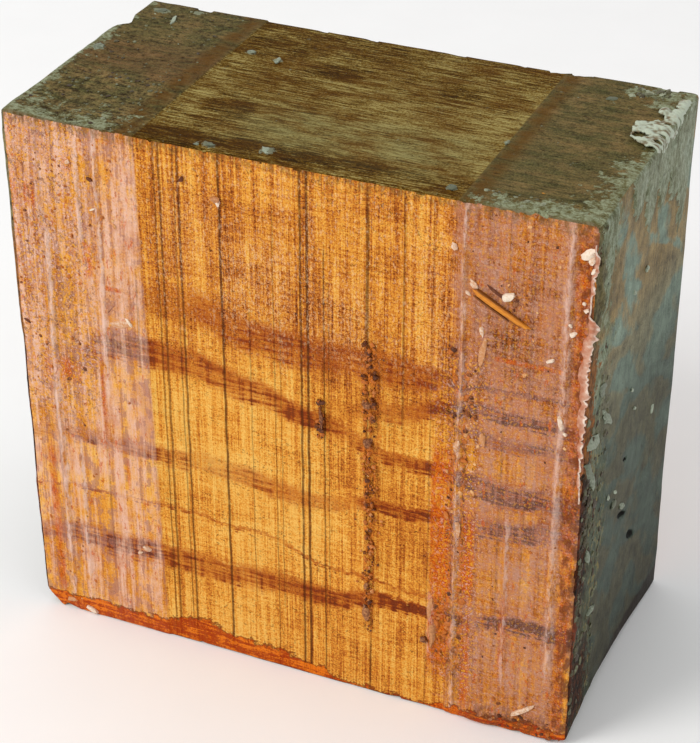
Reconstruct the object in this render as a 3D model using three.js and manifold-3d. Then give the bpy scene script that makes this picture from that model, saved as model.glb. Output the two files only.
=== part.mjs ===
// A marblewood turning blank: a squared block of wood, its two ends dipped in wax, with a curdled lump
// of wax over the top rear corner of the right end and a splinter stuck in the wax of the front face.
// Millimetres. +X runs along the grain, +Y through the thickness to the back, +Z up.

import * as THREE from "three";
import { ConvexGeometry } from "three/addons/geometries/ConvexGeometry.js";
import { ImprovedNoise } from "three/addons/math/ImprovedNoise.js";
import { mergeVertices } from "three/addons/utils/BufferGeometryUtils.js";
import Module from "manifold-3d";

// The block over its wax film
const WIDTH = 152;
const DEPTH = 77;
const HEIGHT = 150;
const HALF_WIDTH = WIDTH / 2;
const HALF_DEPTH = DEPTH / 2;

// The wax film: how thick it is and how far it reaches in from each end
const FILM = 0.4;
const DIP_LEFT = 35;
const DIP_RIGHT = 33.3;
const DIP_LEAN = 3; // the left film reaches this much further in at the base
const DIP_EDGE = 0.7; // width of the step where the film ends

// Worn edges and uneven faces
const EDGE_RADIUS = 1.2;
const EDGE_RADIUS_VARIES = 0.5;
const SOFT_CORNER_RADIUS = 4; // the top corner at the front left
const SOFT_CORNER_REACH = 16;
const FILM_RIPPLE = 0.28;
const END_RIPPLE = 0.35;
const LEFT_BULGE = 1.2; // how far the left end stands out near its top
const LEFT_BULGE_HEIGHT = 70;
const RIGHT_FLARE = 0.9; // how far the right end stands out along its back edge
const RIGHT_FLARE_REACH = 32;

// The grid of the block's surface
const GRID_STEP = 13;
const EDGE_LINES = [0, 0.5, 1.4, 3.4];

// Damage cut out of the block
const NOTCH_HEIGHT = 17; // the broken edge at the top of the left end, at the rear
const NOTCH_OUTLINE = [
  [-82, 18.6],
  [-77.4, 18.6],
  [-73.6, 21.6],
  [-75.4, 27],
  [-75.6, 42],
  [-82, 42],
];
const SCUFF_REACH = 9; // the scuffed lower edge of the right end
const SCUFF_RISE = [
  [-HALF_DEPTH, 2],
  [-19.5, 6],
  [HALF_DEPTH, 0.3],
];
const FOOT_CLIP = 3.2; // the clipped foot at the front left
const EDGE_CHIPS = 18;
const CHIP_SIZE = [1, 2.4];
const SLITS = [
  // small open checks in the end grain: y, z, length, width, slope in degrees
  { y: -2.5, z: 66.5, long: 3.4, wide: 1.2, slope: -24 },
  { y: -0.5, z: 48, long: 9.5, wide: 2, slope: -26 },
  { y: 10.5, z: 34.5, long: 8, wide: 2.8, slope: -32 },
];
const SLIT_DEPTH = 1.8;

// Ridges of wax that run down the faces along the saw's lines: x, from, to, width, rise
const FRONT_RIDGES = [
  [-67, -1, 122, 1.7, 0.8],
  [-57, 110, 145, 1, 0.5],
  [-52, 90, 150, 1.1, 0.5],
  [21, 23, 106, 1.8, 0.7],
  [38.6, 17, 38, 2, 0.8],
  [44.5, -1, 150, 1.7, 0.9],
  [58, 14, 110, 1, 0.5],
  [70, 20, 150, 1.6, 0.8],
];
const BACK_RIDGES = [
  [-69, 12, 149, 1.5, 0.8],
  [-55, -1, 96, 1.2, 0.5],
  [46, 30, 150, 1.6, 0.8],
  [63, -1, 132, 1.3, 0.6],
];
const RIDGE_SIDES = 5;
const RIDGE_STEP = 15;
const RIDGE_WANDER = 0.6;

// Crumbs of wax and sawdust, drawn at random within each patch: face, first and second place across the
// face, how many, width, rise
const CRUMB_PATCHES = [
  { face: "front", u: [19.4, 22.6], v: [22, 106], count: 17, wide: [1.4, 2.8], rise: [0.5, 1.1] },
  { face: "front", u: [7, 9], v: [77, 88], count: 4, wide: [1.2, 2.2], rise: [0.5, 0.9] },
  { face: "front", u: [37, 48], v: [16, 39], count: 12, wide: [1.6, 3.6], rise: [0.5, 1.2] },
  { face: "front", u: [-75, -58], v: [60, 145], count: 22, wide: [1.1, 2.4], rise: [0.3, 0.8] },
  { face: "front", u: [47, 74], v: [8, 148], count: 14, wide: [1.1, 2.6], rise: [0.3, 0.8] },
  { face: "right", u: [-37, -18], v: [8, 112], count: 18, wide: [1.6, 4.2], rise: [0.3, 0.9] },
  { face: "top", u: [46, 75], v: [-37, -29], count: 8, wide: [1.4, 3.6], rise: [0.3, 0.8] },
  { face: "top", u: [61, 71], v: [30, 37], count: 9, wide: [1.4, 3.2], rise: [0.4, 0.9] },
  { face: "left", u: [-34, 30], v: [14, 130], count: 12, wide: [1.6, 4], rise: [0.3, 0.8] },
  { face: "back", u: [-74, -46], v: [12, 140], count: 10, wide: [1.2, 2.8], rise: [0.3, 0.8] },
  { face: "back", u: [47, 74], v: [12, 140], count: 10, wide: [1.2, 2.8], rise: [0.3, 0.8] },
];
// Single blobs of wax on the top: x, y, width
const TOP_BLOBS = [
  [-70, 32.5, 4.2],
  [-60.5, 35, 3],
  [-73.6, 4.5, 4],
  [-36, 17.5, 3.6],
  [-27.5, 15.5, 3],
  [-8, -32.5, 4],
  [-23, -35, 4.6],
  [39, -33.5, 2.8],
  [42.5, -6.5, 2],
  [-64, 27.5, 1.8],
];
const BLOB_RISE = 0.7;

// Thin sheets of wax that ran down the right end from its top edge, scalloped below: y, lowest z, width
const CURTAIN = [
  [-32, 124, 11],
  [-8, 138, 13],
  [3, 129, 12],
  [13, 130, 11],
  [22, 128, 12],
  [30, 118, 13],
];
const CURTAIN_RISE = 0.7;

// Flakes that stand off the front edge of the right end, and a run of wax at the foot of the front
const EDGE_FLAKES = 13;
const FLAKE_FROM = 76;
const FLAKE_SIZE = [1.2, 2.4];
const FOOT_RUN = { from: 46, to: 59, rise: 1.1, height: 5 };

// The curdled wax lies over the top edge of the right end. At each place along that edge: y, how far it
// reaches in over the top, how far it hangs down the end
const CLOT_REACH = [
  [3.2, 1.2, 0.8],
  [4.6, 4.6, 1.4],
  [6.6, 7, 1.8],
  [9, 7.8, 3.6],
  [11.6, 8, 2.2],
  [14.2, 8.8, 1.6],
  [15.8, 8.2, 2],
  [17, 4.6, 3.6],
  [18.6, 3, 2.6],
  [22.5, 2.3, 1.6],
  [26.5, 2, 1.8],
  [31, 2.2, 1.6],
  [32.8, 0.8, 1],
];
const CLOT_THICK = 1;
const CLOT_UNEVEN = 0.75;
const CLOT_RAGGED = 0.9; // how far its rim comes and goes
const CLOT_STEPS = { along: 32, across: 9 };
const CLOT_BLOB = { x: 72.6, y: 23.5, wide: 3.4, long: 4.6, high: 2.6 };

// The splinter, lying on the front face
const SPLINTER = { x: 53.5, z: 125, long: 16, wide: 2.1, thick: 0.8, slope: -28, lift: 3 };

const GAP = 0.3; // between a piece and the surface that carries it
const SEED = 23;

const wasm = await Module();
wasm.setup();
const noise = new ImprovedNoise();
THREE.MathUtils.seededRandom(SEED);

const draw = ([low, high]) => low + (high - low) * THREE.MathUtils.seededRandom();
const uneven = (x, y, z, size) => noise.noise(x / size + 7.3, y / size + 2.9, z / size + 5.1);
const smooth = (value, low, high) => THREE.MathUtils.smoothstep(value, low, high);
const radians = THREE.MathUtils.degToRad;

// A closed three.js geometry as a solid that can be joined and cut
function solidOf(geometry) {
  const bare = new THREE.BufferGeometry().setAttribute(
    "position",
    (geometry.index ? geometry.toNonIndexed() : geometry).getAttribute("position"),
  );
  const merged = mergeVertices(bare, 1e-4);
  return new wasm.Manifold(
    new wasm.Mesh({
      numProp: 3,
      vertProperties: merged.attributes.position.array,
      triVerts: new Uint32Array(merged.index.array),
    }),
  );
}

function geometryOf(solid) {
  const mesh = solid.getMesh();
  const geometry = new THREE.BufferGeometry()
    .setAttribute("position", new THREE.BufferAttribute(mesh.vertProperties, 3))
    .setIndex(new THREE.BufferAttribute(mesh.triVerts, 1));
  geometry.computeVertexNormals();
  return geometry;
}

const joined = (solids) => solids.reduce((whole, next) => whole.add(next));

// The largest body of a solid, without the loose scraps that cutting leaves
const mainBody = (solid) =>
  solid.decompose().reduce((kept, body) => (body.volume() > kept.volume() ? body : kept));

// Moves every vertex of a geometry by a rule
function reshape(geometry, rule) {
  const places = geometry.getAttribute("position");
  const point = new THREE.Vector3();
  for (let i = 0; i < places.count; i++) {
    rule(point.fromBufferAttribute(places, i));
    places.setXYZ(i, point.x, point.y, point.z);
  }
  return geometry;
}

// How each face of the block is reached from a flat drawing that looks out along its own +Z
const FACES = {
  front: { turn: [Math.PI / 2, 0, 0], at: (x, z) => [x, -HALF_DEPTH, z] },
  back: { turn: [-Math.PI / 2, 0, 0], at: (x, z) => [x, HALF_DEPTH, z] },
  top: { turn: [0, 0, 0], at: (x, y) => [x, y, HEIGHT] },
  right: { turn: [0, Math.PI / 2, 0], at: (y, z) => [HALF_WIDTH, y, z] },
  left: { turn: [0, -Math.PI / 2, 0], at: (y, z) => [-HALF_WIDTH, y, z] },
};

function onFace(geometry, face, u, v) {
  const { turn, at } = FACES[face];
  return geometry
    .applyMatrix4(new THREE.Matrix4().makeRotationFromEuler(new THREE.Euler(...turn)))
    .translate(...at(u, v));
}

// Lines across one side of the block: close at both edges and at the marks, even between them
function gridLines(low, high, marks = []) {
  const fixed = [
    ...EDGE_LINES.map((inset) => low + inset),
    ...marks,
    ...EDGE_LINES.map((inset) => high - inset).reverse(),
  ];
  const lines = [fixed[0]];
  for (const next of fixed.slice(1)) {
    const last = lines.at(-1);
    const parts = Math.ceil((next - last) / GRID_STEP);
    for (let i = 1; i <= parts; i++) lines.push(last + ((next - last) * i) / parts);
  }
  return lines;
}

// The film's edges are two lines each, a film's step apart
const FILM_ENDS = { left: -HALF_WIDTH + DIP_LEFT, right: HALF_WIDTH - DIP_RIGHT };
const isBare = (x) => x > FILM_ENDS.left && x < FILM_ENDS.right;

// The left film's edge leans, and the surface between the left end and the right film leans with it
function leaning(x, z) {
  const share =
    x < FILM_ENDS.left
      ? (x + HALF_WIDTH) / DIP_LEFT
      : Math.max(0, (FILM_ENDS.right - x) / (FILM_ENDS.right - FILM_ENDS.left));
  return DIP_LEAN * (1 - z / HEIGHT) * Math.min(1, share);
}

function edgeRadius(p) {
  const corner = new THREE.Vector3(-HALF_WIDTH, -HALF_DEPTH, HEIGHT).distanceTo(p);
  const soft = 1 - smooth(corner, 0, SOFT_CORNER_REACH);
  const radius = EDGE_RADIUS + EDGE_RADIUS_VARIES * uneven(p.x, p.y, p.z, 11);
  return THREE.MathUtils.lerp(radius, SOFT_CORNER_RADIUS, soft);
}

// Pulls a point near an edge of a box onto that edge's round
function rounded(p, low, high, radius) {
  const core = p.clone().clamp(low.clone().addScalar(radius), high.clone().subScalar(radius));
  const out = p.clone().sub(core);
  return out.length() > radius ? core.add(out.setLength(radius)) : p.clone();
}

// The wood as sawn and dipped, before anything is broken off or stuck on
function sawnBlock() {
  const half = DIP_EDGE / 2;
  const marks = [FILM_ENDS.left, FILM_ENDS.right].flatMap((x) => [x - half, x + half]);
  const lines = {
    x: gridLines(-HALF_WIDTH, HALF_WIDTH, marks),
    y: gridLines(-HALF_DEPTH, HALF_DEPTH),
    z: gridLines(0, HEIGHT),
  };
  const pick = (list, share) => list[Math.round((share + 0.5) * (list.length - 1))];
  const box = new THREE.BoxGeometry(
    1,
    1,
    1,
    lines.x.length - 1,
    lines.y.length - 1,
    lines.z.length - 1,
  );
  return reshape(box, (p) => {
    p.set(pick(lines.x, p.x), pick(lines.y, p.y), pick(lines.z, p.z));
    const front = p.y <= -HALF_DEPTH;
    const back = p.y >= HALF_DEPTH;
    const top = p.z >= HEIGHT;
    const left = p.x <= -HALF_WIDTH;
    const right = p.x >= HALF_WIDTH;
    const film = isBare(p.x) ? FILM : 0;
    const low = new THREE.Vector3(-HALF_WIDTH, -HALF_DEPTH + film, 0);
    const high = new THREE.Vector3(HALF_WIDTH, HALF_DEPTH - film, HEIGHT - film);
    const flat = p.clone().clamp(low, high);
    const radius = edgeRadius(flat);
    const ripple = film ? 0 : FILM_RIPPLE * uneven(p.x, p.y, p.z, 15);
    const ends = END_RIPPLE * uneven(p.x, p.y, p.z, 22);
    p.copy(rounded(flat, low, high, radius));
    if (front) p.y -= ripple;
    if (back) p.y += ripple;
    if (top) p.z += ripple;
    if (left) p.x -= ends + LEFT_BULGE * smooth(p.z, HEIGHT - LEFT_BULGE_HEIGHT, HEIGHT);
    if (right) p.x += ends + RIGHT_FLARE * smooth(p.y, HALF_DEPTH - RIGHT_FLARE_REACH, HALF_DEPTH);
    p.x += leaning(p.x, p.z);
  });
}

// The broken edge at the top of the left end: an upright prism that leans out of the block as it goes down
function notchCutter() {
  const outline = new THREE.Shape(NOTCH_OUTLINE.map(([x, y]) => new THREE.Vector2(x, y)));
  const lean = Math.atan2(4, NOTCH_HEIGHT);
  const cutter = new THREE.ExtrudeGeometry(outline, { depth: 2 * NOTCH_HEIGHT, bevelEnabled: false });
  return cutter
    .translate(HALF_WIDTH, 0, -2 * NOTCH_HEIGHT + 1)
    .rotateY(lean)
    .translate(-HALF_WIDTH, 0, HEIGHT);
}

// The scuffed lower edge of the right end: a wedge that is highest a quarter of the way from the front
function scuffCutter() {
  const out = HALF_WIDTH + 4;
  const points = [];
  for (const [y, rise] of SCUFF_RISE) {
    const past = y * 1.1;
    points.push(
      new THREE.Vector3(HALF_WIDTH - SCUFF_REACH, past, 0),
      new THREE.Vector3(out, past, rise * (1 + 4 / SCUFF_REACH)),
      new THREE.Vector3(HALF_WIDTH - SCUFF_REACH, past, -3),
      new THREE.Vector3(out, past, -3),
    );
  }
  return new ConvexGeometry(points);
}

// A lump with flat facets, turned at random, that bites out of or stands on a surface
function facetedLump(wide, deep, long) {
  const lump = new THREE.OctahedronGeometry(0.5, 0);
  lump.rotateX(draw([0, Math.PI])).rotateY(draw([0, Math.PI]));
  return lump.scale(wide, long, deep).rotateZ(draw([0, Math.PI]));
}

// Small chips along the block's long edges
function edgeChips() {
  const edges = [
    { from: [-HALF_WIDTH, -HALF_DEPTH, HEIGHT], to: [HALF_WIDTH, -HALF_DEPTH, HEIGHT] },
    { from: [-HALF_WIDTH, HALF_DEPTH, HEIGHT], to: [HALF_WIDTH, HALF_DEPTH, HEIGHT] },
    { from: [HALF_WIDTH, -HALF_DEPTH, 0], to: [HALF_WIDTH, -HALF_DEPTH, HEIGHT] },
    { from: [-HALF_WIDTH, -HALF_DEPTH, 0], to: [-HALF_WIDTH, -HALF_DEPTH, HEIGHT] },
    { from: [-HALF_WIDTH, -HALF_DEPTH, 0], to: [HALF_WIDTH, -HALF_DEPTH, 0] },
    { from: [-HALF_WIDTH, HALF_DEPTH, 0], to: [-HALF_WIDTH, HALF_DEPTH, HEIGHT] },
  ];
  return Array.from({ length: EDGE_CHIPS }, (_, i) => {
    const { from, to } = edges[i % edges.length];
    const place = new THREE.Vector3(...from).lerp(new THREE.Vector3(...to), draw([0.04, 0.96]));
    const size = draw(CHIP_SIZE);
    return facetedLump(size * 1.6, size * 1.6, size * 2.2).translate(place.x, place.y, place.z);
  });
}

// The clipped foot at the front left: a small block turned onto its corner
function footCutter() {
  const size = 4 * FOOT_CLIP;
  return new THREE.BoxGeometry(size, size, size)
    .rotateX(radians(40))
    .rotateY(radians(45))
    .translate(-HALF_WIDTH - size * 0.42, -HALF_DEPTH - size * 0.22, -size * 0.36);
}

// An open check in the end grain of the right end
function slitCutter({ y, z, long, wide, slope }) {
  return onFace(
    new THREE.OctahedronGeometry(0.5, 1)
      .scale(wide, long, 2 * SLIT_DEPTH)
      .rotateZ(radians(90 + slope)),
    "right",
    y,
    z,
  );
}

// A ridge of wax: a bead that wanders a little and fades at both ends
function ridge(face, [x, from, to, wide, rise]) {
  const long = to - from;
  const steps = Math.round(long / RIDGE_STEP);
  const bead = new THREE.CylinderGeometry(1, 1, long, RIDGE_SIDES, steps);
  reshape(bead, (p) => {
    const fade = Math.min(1, (long / 2 - Math.abs(p.y)) / 12 + 0.35);
    const swell = (1 + 0.35 * uneven(x, p.y, 0, 9)) * fade;
    p.x = p.x * (wide / 2) * swell + RIDGE_WANDER * uneven(x, p.y, 3, 24);
    p.z *= rise * swell;
  });
  return onFace(bead, face, x, (from + to) / 2);
}

function crumbs({ face, u, v, count, wide, rise }) {
  return Array.from({ length: count }, () => {
    const across = draw(wide);
    const place = [draw(u), draw(v)];
    const lump = facetedLump(across, 2 * draw(rise), across * draw([0.8, 1.5]));
    return onFace(lump, face, ...place);
  });
}

function blob([x, y, wide]) {
  return onFace(facetedLump(wide, 2 * BLOB_RISE, wide * 0.7), "top", x, y);
}

// One sheet of the wax that ran down the right end, from the top edge
function curtain([y, low, wide]) {
  const high = 2 * (HEIGHT - low);
  const sheet = new THREE.SphereGeometry(0.5, 8, 8).rotateX(Math.PI / 2);
  onFace(sheet.scale(high, wide, 2 * CURTAIN_RISE + RIGHT_FLARE), "right", y, HEIGHT);
  const above = new THREE.BoxGeometry(20, DEPTH, high).translate(HALF_WIDTH, y, HEIGHT + high / 2 - 1);
  return solidOf(sheet).subtract(solidOf(above));
}

// A flake of wax that stands off the front edge of the right end
function edgeFlake(_, i) {
  const size = draw(FLAKE_SIZE);
  const z = THREE.MathUtils.lerp(FLAKE_FROM, HEIGHT - 3, (i + draw([0, 0.8])) / EDGE_FLAKES);
  return new THREE.ConeGeometry(size * 0.7, size * 1.5, 4)
    .scale(1, 1, 0.5)
    .rotateY(draw([0, Math.PI]))
    .rotateZ(radians(draw([-130, -60])))
    .rotateY(radians(draw([0, 50])))
    .translate(HALF_WIDTH - 0.9, -HALF_DEPTH + 0.8, z);
}

// The run of wax at the foot of the front face
function footRun() {
  const { from, to, rise, height } = FOOT_RUN;
  const run = new THREE.SphereGeometry(0.5, 12, 6).scale(to - from, height, 2 * rise);
  return onFace(run, "front", (from + to) / 2, height / 2 + 0.1);
}

function woodBlock() {
  const relief = [
    ...FRONT_RIDGES.map((line) => ridge("front", line)),
    ...BACK_RIDGES.map((line) => ridge("back", line)),
    ...CRUMB_PATCHES.flatMap(crumbs),
    ...TOP_BLOBS.map(blob),
    ...Array.from({ length: EDGE_FLAKES }, edgeFlake),
    footRun(),
  ];
  const floor = new THREE.BoxGeometry(2 * WIDTH, 2 * DEPTH, 20).translate(0, 0, -10);
  const cutters = [
    floor,
    notchCutter(),
    scuffCutter(),
    footCutter(),
    ...edgeChips(),
    ...SLITS.map(slitCutter),
  ];
  const whole = joined([...[sawnBlock(), ...relief].map(solidOf), ...CURTAIN.map(curtain)]);
  return mainBody(whole.subtract(joined(cutters.map(solidOf))));
}

// The block with a gap's width of air round it, to cut what lies on it
function blockWithAir(block) {
  const air = geometryOf(block).translate(0, 0, -HEIGHT / 2);
  air.scale(1 + (2 * GAP) / WIDTH, 1 + (2 * GAP) / DEPTH, 1 + (2 * GAP) / HEIGHT);
  return solidOf(air.translate(0, 0, HEIGHT / 2));
}

// The value of a table's column at y, between its rows
function along(table, y, column) {
  const next = table.findIndex((row) => row[0] >= y);
  if (next <= 0) return table.at(next)[column];
  const [low, high] = [table[next - 1], table[next]];
  return THREE.MathUtils.mapLinear(y, low[0], high[0], low[column], high[column]);
}

// A point over the top edge of the right end: s runs across the edge from the top to the end, and out is
// the height over the surface there
function overEdge(y, s, out) {
  const quarter = (EDGE_RADIUS * Math.PI) / 4;
  const bend = THREE.MathUtils.clamp((s + quarter) / (2 * quarter), 0, 1) * (Math.PI / 2);
  const flat = Math.max(0, Math.abs(s) - quarter);
  const reach = EDGE_RADIUS + out;
  return new THREE.Vector3(
    HALF_WIDTH - EDGE_RADIUS + reach * Math.sin(bend) - (s < 0 ? flat : 0),
    y,
    HEIGHT - EDGE_RADIUS + reach * Math.cos(bend) - (s > 0 ? flat : 0),
  );
}

// The curdled lump: a ragged sheet draped over the edge, with one more blob beside it
function waxClot() {
  const first = CLOT_REACH[0][0];
  const last = CLOT_REACH.at(-1)[0];
  const sheet = new THREE.BoxGeometry(1, 1, 1, CLOT_STEPS.along, CLOT_STEPS.across, 1);
  reshape(sheet, (p) => {
    const y = THREE.MathUtils.lerp(last, first, p.x + 0.5);
    const [inward, down] = [1, 2].map((column) => {
      const reach = along(CLOT_REACH, y, column);
      return reach + Math.min(CLOT_RAGGED, reach * 0.7) * 2 * uneven(y, 9 * column, 0, 2.3);
    });
    const s = THREE.MathUtils.lerp(-inward, down, p.y + 0.5);
    const rim = 1 - Math.abs(2 * p.y) ** 6;
    const curds = CLOT_THICK + CLOT_UNEVEN * uneven(s, y, 0, 1.6);
    const out = p.z > 0 ? Math.max(2 * GAP, FILM + curds * (0.4 + 0.6 * rim)) : -1;
    p.copy(overEdge(y, s, out));
  });
  const { x, y, wide, long, high } = CLOT_BLOB;
  const blob = new THREE.SphereGeometry(0.5, 9, 6).scale(wide, long, high).translate(x, y, HEIGHT);
  return solidOf(sheet).add(solidOf(blob));
}

// The splinter: a pointed sliver with a second strand split from its lower end
function splinter() {
  const { x, z, long, wide, thick, slope, lift } = SPLINTER;
  const outline = new THREE.Shape(
    [
      [-0.5, 0.1],
      [-0.2, 0.5],
      [0.18, 0.42],
      [0.5, -0.1],
      [0.3, -0.2],
      [0.1, -0.34],
      [-0.1, -0.3],
      [0.02, -0.62],
      [-0.22, -0.52],
    ]
      .map(([along, across]) => new THREE.Vector2(along * long, across * wide))
      .reverse(),
  );
  const sliver = new THREE.ExtrudeGeometry(outline, {
    depth: thick,
    bevelEnabled: false,
  });
  sliver
    .translate(long / 2, 0, 0)
    .rotateY(radians(-lift))
    .translate(-long / 2, 0, FILM_RIPPLE)
    .rotateZ(radians(slope));
  return solidOf(onFace(sliver, "front", x, z));
}

function named(name, solid, material) {
  const mesh = new THREE.Mesh(geometryOf(solid), material);
  mesh.name = name;
  return mesh;
}

const wood = new THREE.MeshStandardMaterial({ color: 0xb8732e, roughness: 0.55, metalness: 0 });
const wax = new THREE.MeshStandardMaterial({ color: 0xb4c2b4, roughness: 0.45, metalness: 0 });

const block = woodBlock();
const air = blockWithAir(block);
const blank = new THREE.Group();
blank.add(
  named("wood_block", block, wood),
  named("wax_clot", mainBody(waxClot().subtract(air)), wax),
  named("splinter", mainBody(splinter().subtract(air)), wood),
);

// The part's own frame: the middle of its footprint, on the surface that it stands on
const bounds = new THREE.Box3().setFromObject(blank);
const middle = bounds.getCenter(new THREE.Vector3());
blank.position.set(-middle.x, -middle.y, -bounds.min.z);

export default blank;
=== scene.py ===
"""A marblewood turning blank: a squared block of wood whose two ends were dipped in wax, with a curdled
lump of wax over one top corner and a splinter stuck in the wax of its front face.

Lengths are millimetres while a piece is shaped, from the middle of the block's footprint: x along the
grain, y from the front to the back, z up. A finished piece is put into the frame in metres."""

import itertools
import math
import random

import bpy
import numpy as np
from bpy.props import FloatProperty, FloatVectorProperty, IntProperty, PointerProperty
from mathutils import Euler, Matrix, Vector


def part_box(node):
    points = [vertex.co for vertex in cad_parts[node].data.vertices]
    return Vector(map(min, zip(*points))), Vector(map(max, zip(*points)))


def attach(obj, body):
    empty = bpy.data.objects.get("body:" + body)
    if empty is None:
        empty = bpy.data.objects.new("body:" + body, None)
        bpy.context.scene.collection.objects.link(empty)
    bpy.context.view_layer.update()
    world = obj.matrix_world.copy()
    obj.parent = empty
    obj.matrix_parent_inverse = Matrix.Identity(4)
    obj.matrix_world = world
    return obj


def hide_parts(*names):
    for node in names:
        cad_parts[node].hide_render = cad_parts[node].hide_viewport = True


bl_info = {
    "name": "Turning blank",
    "version": (1, 0, 0),
    "blender": (4, 5, 0),
    "location": "View3D > Sidebar > Turning blank",
    "description": "Dresses a waxed block of figured wood",
    "category": "Object",
}

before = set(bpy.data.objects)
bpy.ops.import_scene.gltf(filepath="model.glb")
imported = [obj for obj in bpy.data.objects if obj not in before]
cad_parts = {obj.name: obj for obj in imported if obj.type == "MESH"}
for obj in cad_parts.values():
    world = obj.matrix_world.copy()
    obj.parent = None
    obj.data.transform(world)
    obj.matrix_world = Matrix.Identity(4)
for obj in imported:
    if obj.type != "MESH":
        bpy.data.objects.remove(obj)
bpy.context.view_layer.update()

MM = 0.001
MIDDLE = Vector((-0.169, 0.490, 0.0))  # the middle of the footprint in the frame, in millimetres

BOX_GAP = 0.001  # how far a finer piece stays inside the box of what it replaces

# The block over its film of wax
HALF_WIDTH = 76.0
HALF_DEPTH = 38.5
HEIGHT = 150.0

# The film of wax on both ends, and how its edges run
FILM_LEFT = -41.0
FILM_RIGHT = 42.7
FILM_LEAN = 3.0  # the left film reaches this much further in at the base
FILM_EDGE = 0.7

# Worn edges and uneven faces
RADIUS_VARIES = 0.3
SOFT_CORNER_RADIUS = 1.2  # the top corner at the front left
SOFT_CORNER_REACH = 7.0
FILM_RIPPLE = 0.2
END_RIPPLE = 0.3
LEFT_BULGE = ((0, 0.2), (14, 0.7), (85, 0.8), (112, 1.3), (150, 1.3))  # z, how far out
RIGHT_FLARE = 0.9
# x, how much higher the top's back edge lies there
BACK_LIFT = ((-76, 0.8), (-40, 0.8), (0, 0.5), (40, 0.4), (76, 0.5))
LEFT_LIFT = 0.8
TOP_LIFT_REACH = (14.0, 4.0)  # how far the left edge's lift reaches in, and the lift down the sides
RIGHT_FLARE_REACH = 32.0

# The mesh of the block: close lines at its edges, even ones between them
EDGE_INSETS = (0.35, 0.8, 1.4, 2.2, 3.4)
STEP = [s * 1 for s in (0.55, 1.0, 0.95)]
MOST_CUTS = 90
BLOCK_TRIANGLES = 186000

# Damage
NOTCH = ((18.6, -77.6), (21.6, -73.6), (27.0, -75.4), (38.5, -75.6))  # y, how far in its wall stands
NOTCH_LEAN = 4.0 / 17.0
SCUFF_REACH = 9.0
SCUFF = ((-38.5, 2.0), (-19.5, 6.0), (38.5, 0.3))  # y, rise of the scuffed lower edge
FOOT_CLIP = 3.0
CHIPS = 46
SLITS = ((-2.5, 66.5, 3.4, 1.2, -24.0), (-0.5, 48.0, 9.5, 2.0, -26.0), (10.5, 34.5, 8.0, 2.8, -32.0))
SLIT_DEPTH = 1.4

# Ridges of wax down the front and the back: x, from, to, width, rise
FRONT_RIDGES = (
    (-67.0, -1.0, 122.0, 1.7, 0.8),
    (-57.0, 110.0, 145.0, 1.2, 0.6),
    (-51.8, 76.0, 150.0, 1.4, 0.6),
    (-61.6, 4.0, 60.0, 1.4, 0.6),
    (21.0, 23.0, 106.0, 1.4, 0.5),
    (38.6, 17.0, 38.0, 2.0, 0.8),
    (44.6, -1.0, 150.0, 1.2, 0.7),
    (58.0, 14.0, 66.0, 1.0, 0.55),
    (70.0, 20.0, 150.0, 2.0, 0.8),
)
BACK_RIDGES = (
    (-69.0, 12.0, 149.0, 1.5, 0.8),
    (-55.0, -1.0, 96.0, 1.2, 0.6),
    (46.0, 30.0, 150.0, 1.6, 0.8),
    (63.0, -1.0, 132.0, 1.3, 0.6),
)
RIDGE_WANDER = 0.5
CRUST_RISE = 0.5  # lower ridges are brown crust and not pale wax

# Sheets of wax that ran down the right end: y, lowest z, width
CURTAIN = ((-32, 124, 11), (-8, 138, 13), (3, 129, 12), (13, 130, 11), (22, 128, 12), (30, 118, 13))
CURTAIN_RISE = 0.6

# Blobs of wax on the top: x, y, width
TOP_BLOBS = (
    (-70, 32.5, 4.2),
    (-60.5, 35, 3),
    (-73.6, 4.5, 4),
    (-36, 17.5, 3.6),
    (-27.5, 15.5, 3),
    (-8, -32.5, 4),
    (-23, -35, 4.6),
    (39, -33.5, 2.8),
    (42.5, -6.5, 2),
    (-64, 27.5, 1.8),
)
BLOB_RISE = 0.6
FOOT_RUN = (52.5, 2.6, 13.0, 5.0, 1.1)  # x, z, width, height and rise of the run of wax at the foot

# Crumbs of wax and sawdust: face, across, up, how many, width, rise, tone from dark to pale
CRUMB_PATCHES = (
    ("front", (19.6, 22.8), (58, 107), 150, (0.4, 1.5), (0.2, 0.7), (0.0, 0.6)),
    ("front", (20.0, 22.2), (20, 62), 90, (0.4, 1.2), (0.2, 0.6), (0.0, 0.7)),
    ("front", (7, 9), (77, 88), 22, (0.6, 1.6), (0.25, 0.7), (0.0, 0.5)),
    ("front", (38, 47), (15, 38), 70, (0.6, 2.0), (0.2, 0.8), (0.1, 0.7)),
    ("front", (41, 50), (60, 112), 90, (0.4, 1.6), (0.15, 0.6), (0.0, 0.8)),
    ("front", (42, 47), (30, 62), 40, (0.4, 1.4), (0.15, 0.5), (0.0, 0.7)),
    ("front", (17.5, 25), (20, 106), 50, (0.3, 0.9), (0.1, 0.3), (0.0, 0.8)),
    ("front", (-75.5, -58), (58, 147), 260, (0.4, 1.2), (0.15, 0.4), (0.1, 0.8)),
    ("front", (-58, -46), (70, 147), 70, (0.4, 1.1), (0.15, 0.35), (0.2, 0.9)),
    ("front", (-75, -45), (4, 60), 40, (0.4, 1.0), (0.15, 0.3), (0.2, 0.9)),
    ("front", (46, 75), (4, 148), 150, (0.4, 1.2), (0.15, 0.4), (0.0, 0.9)),
    ("front", (50, 75), (1, 6), 40, (0.5, 1.6), (0.2, 0.6), (0.0, 0.6)),
    ("back", (-74, -46), (12, 140), 90, (0.5, 1.4), (0.2, 0.5), (0.1, 0.8)),
    ("back", (47, 74), (12, 140), 90, (0.5, 1.4), (0.2, 0.5), (0.1, 0.8)),
)
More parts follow.
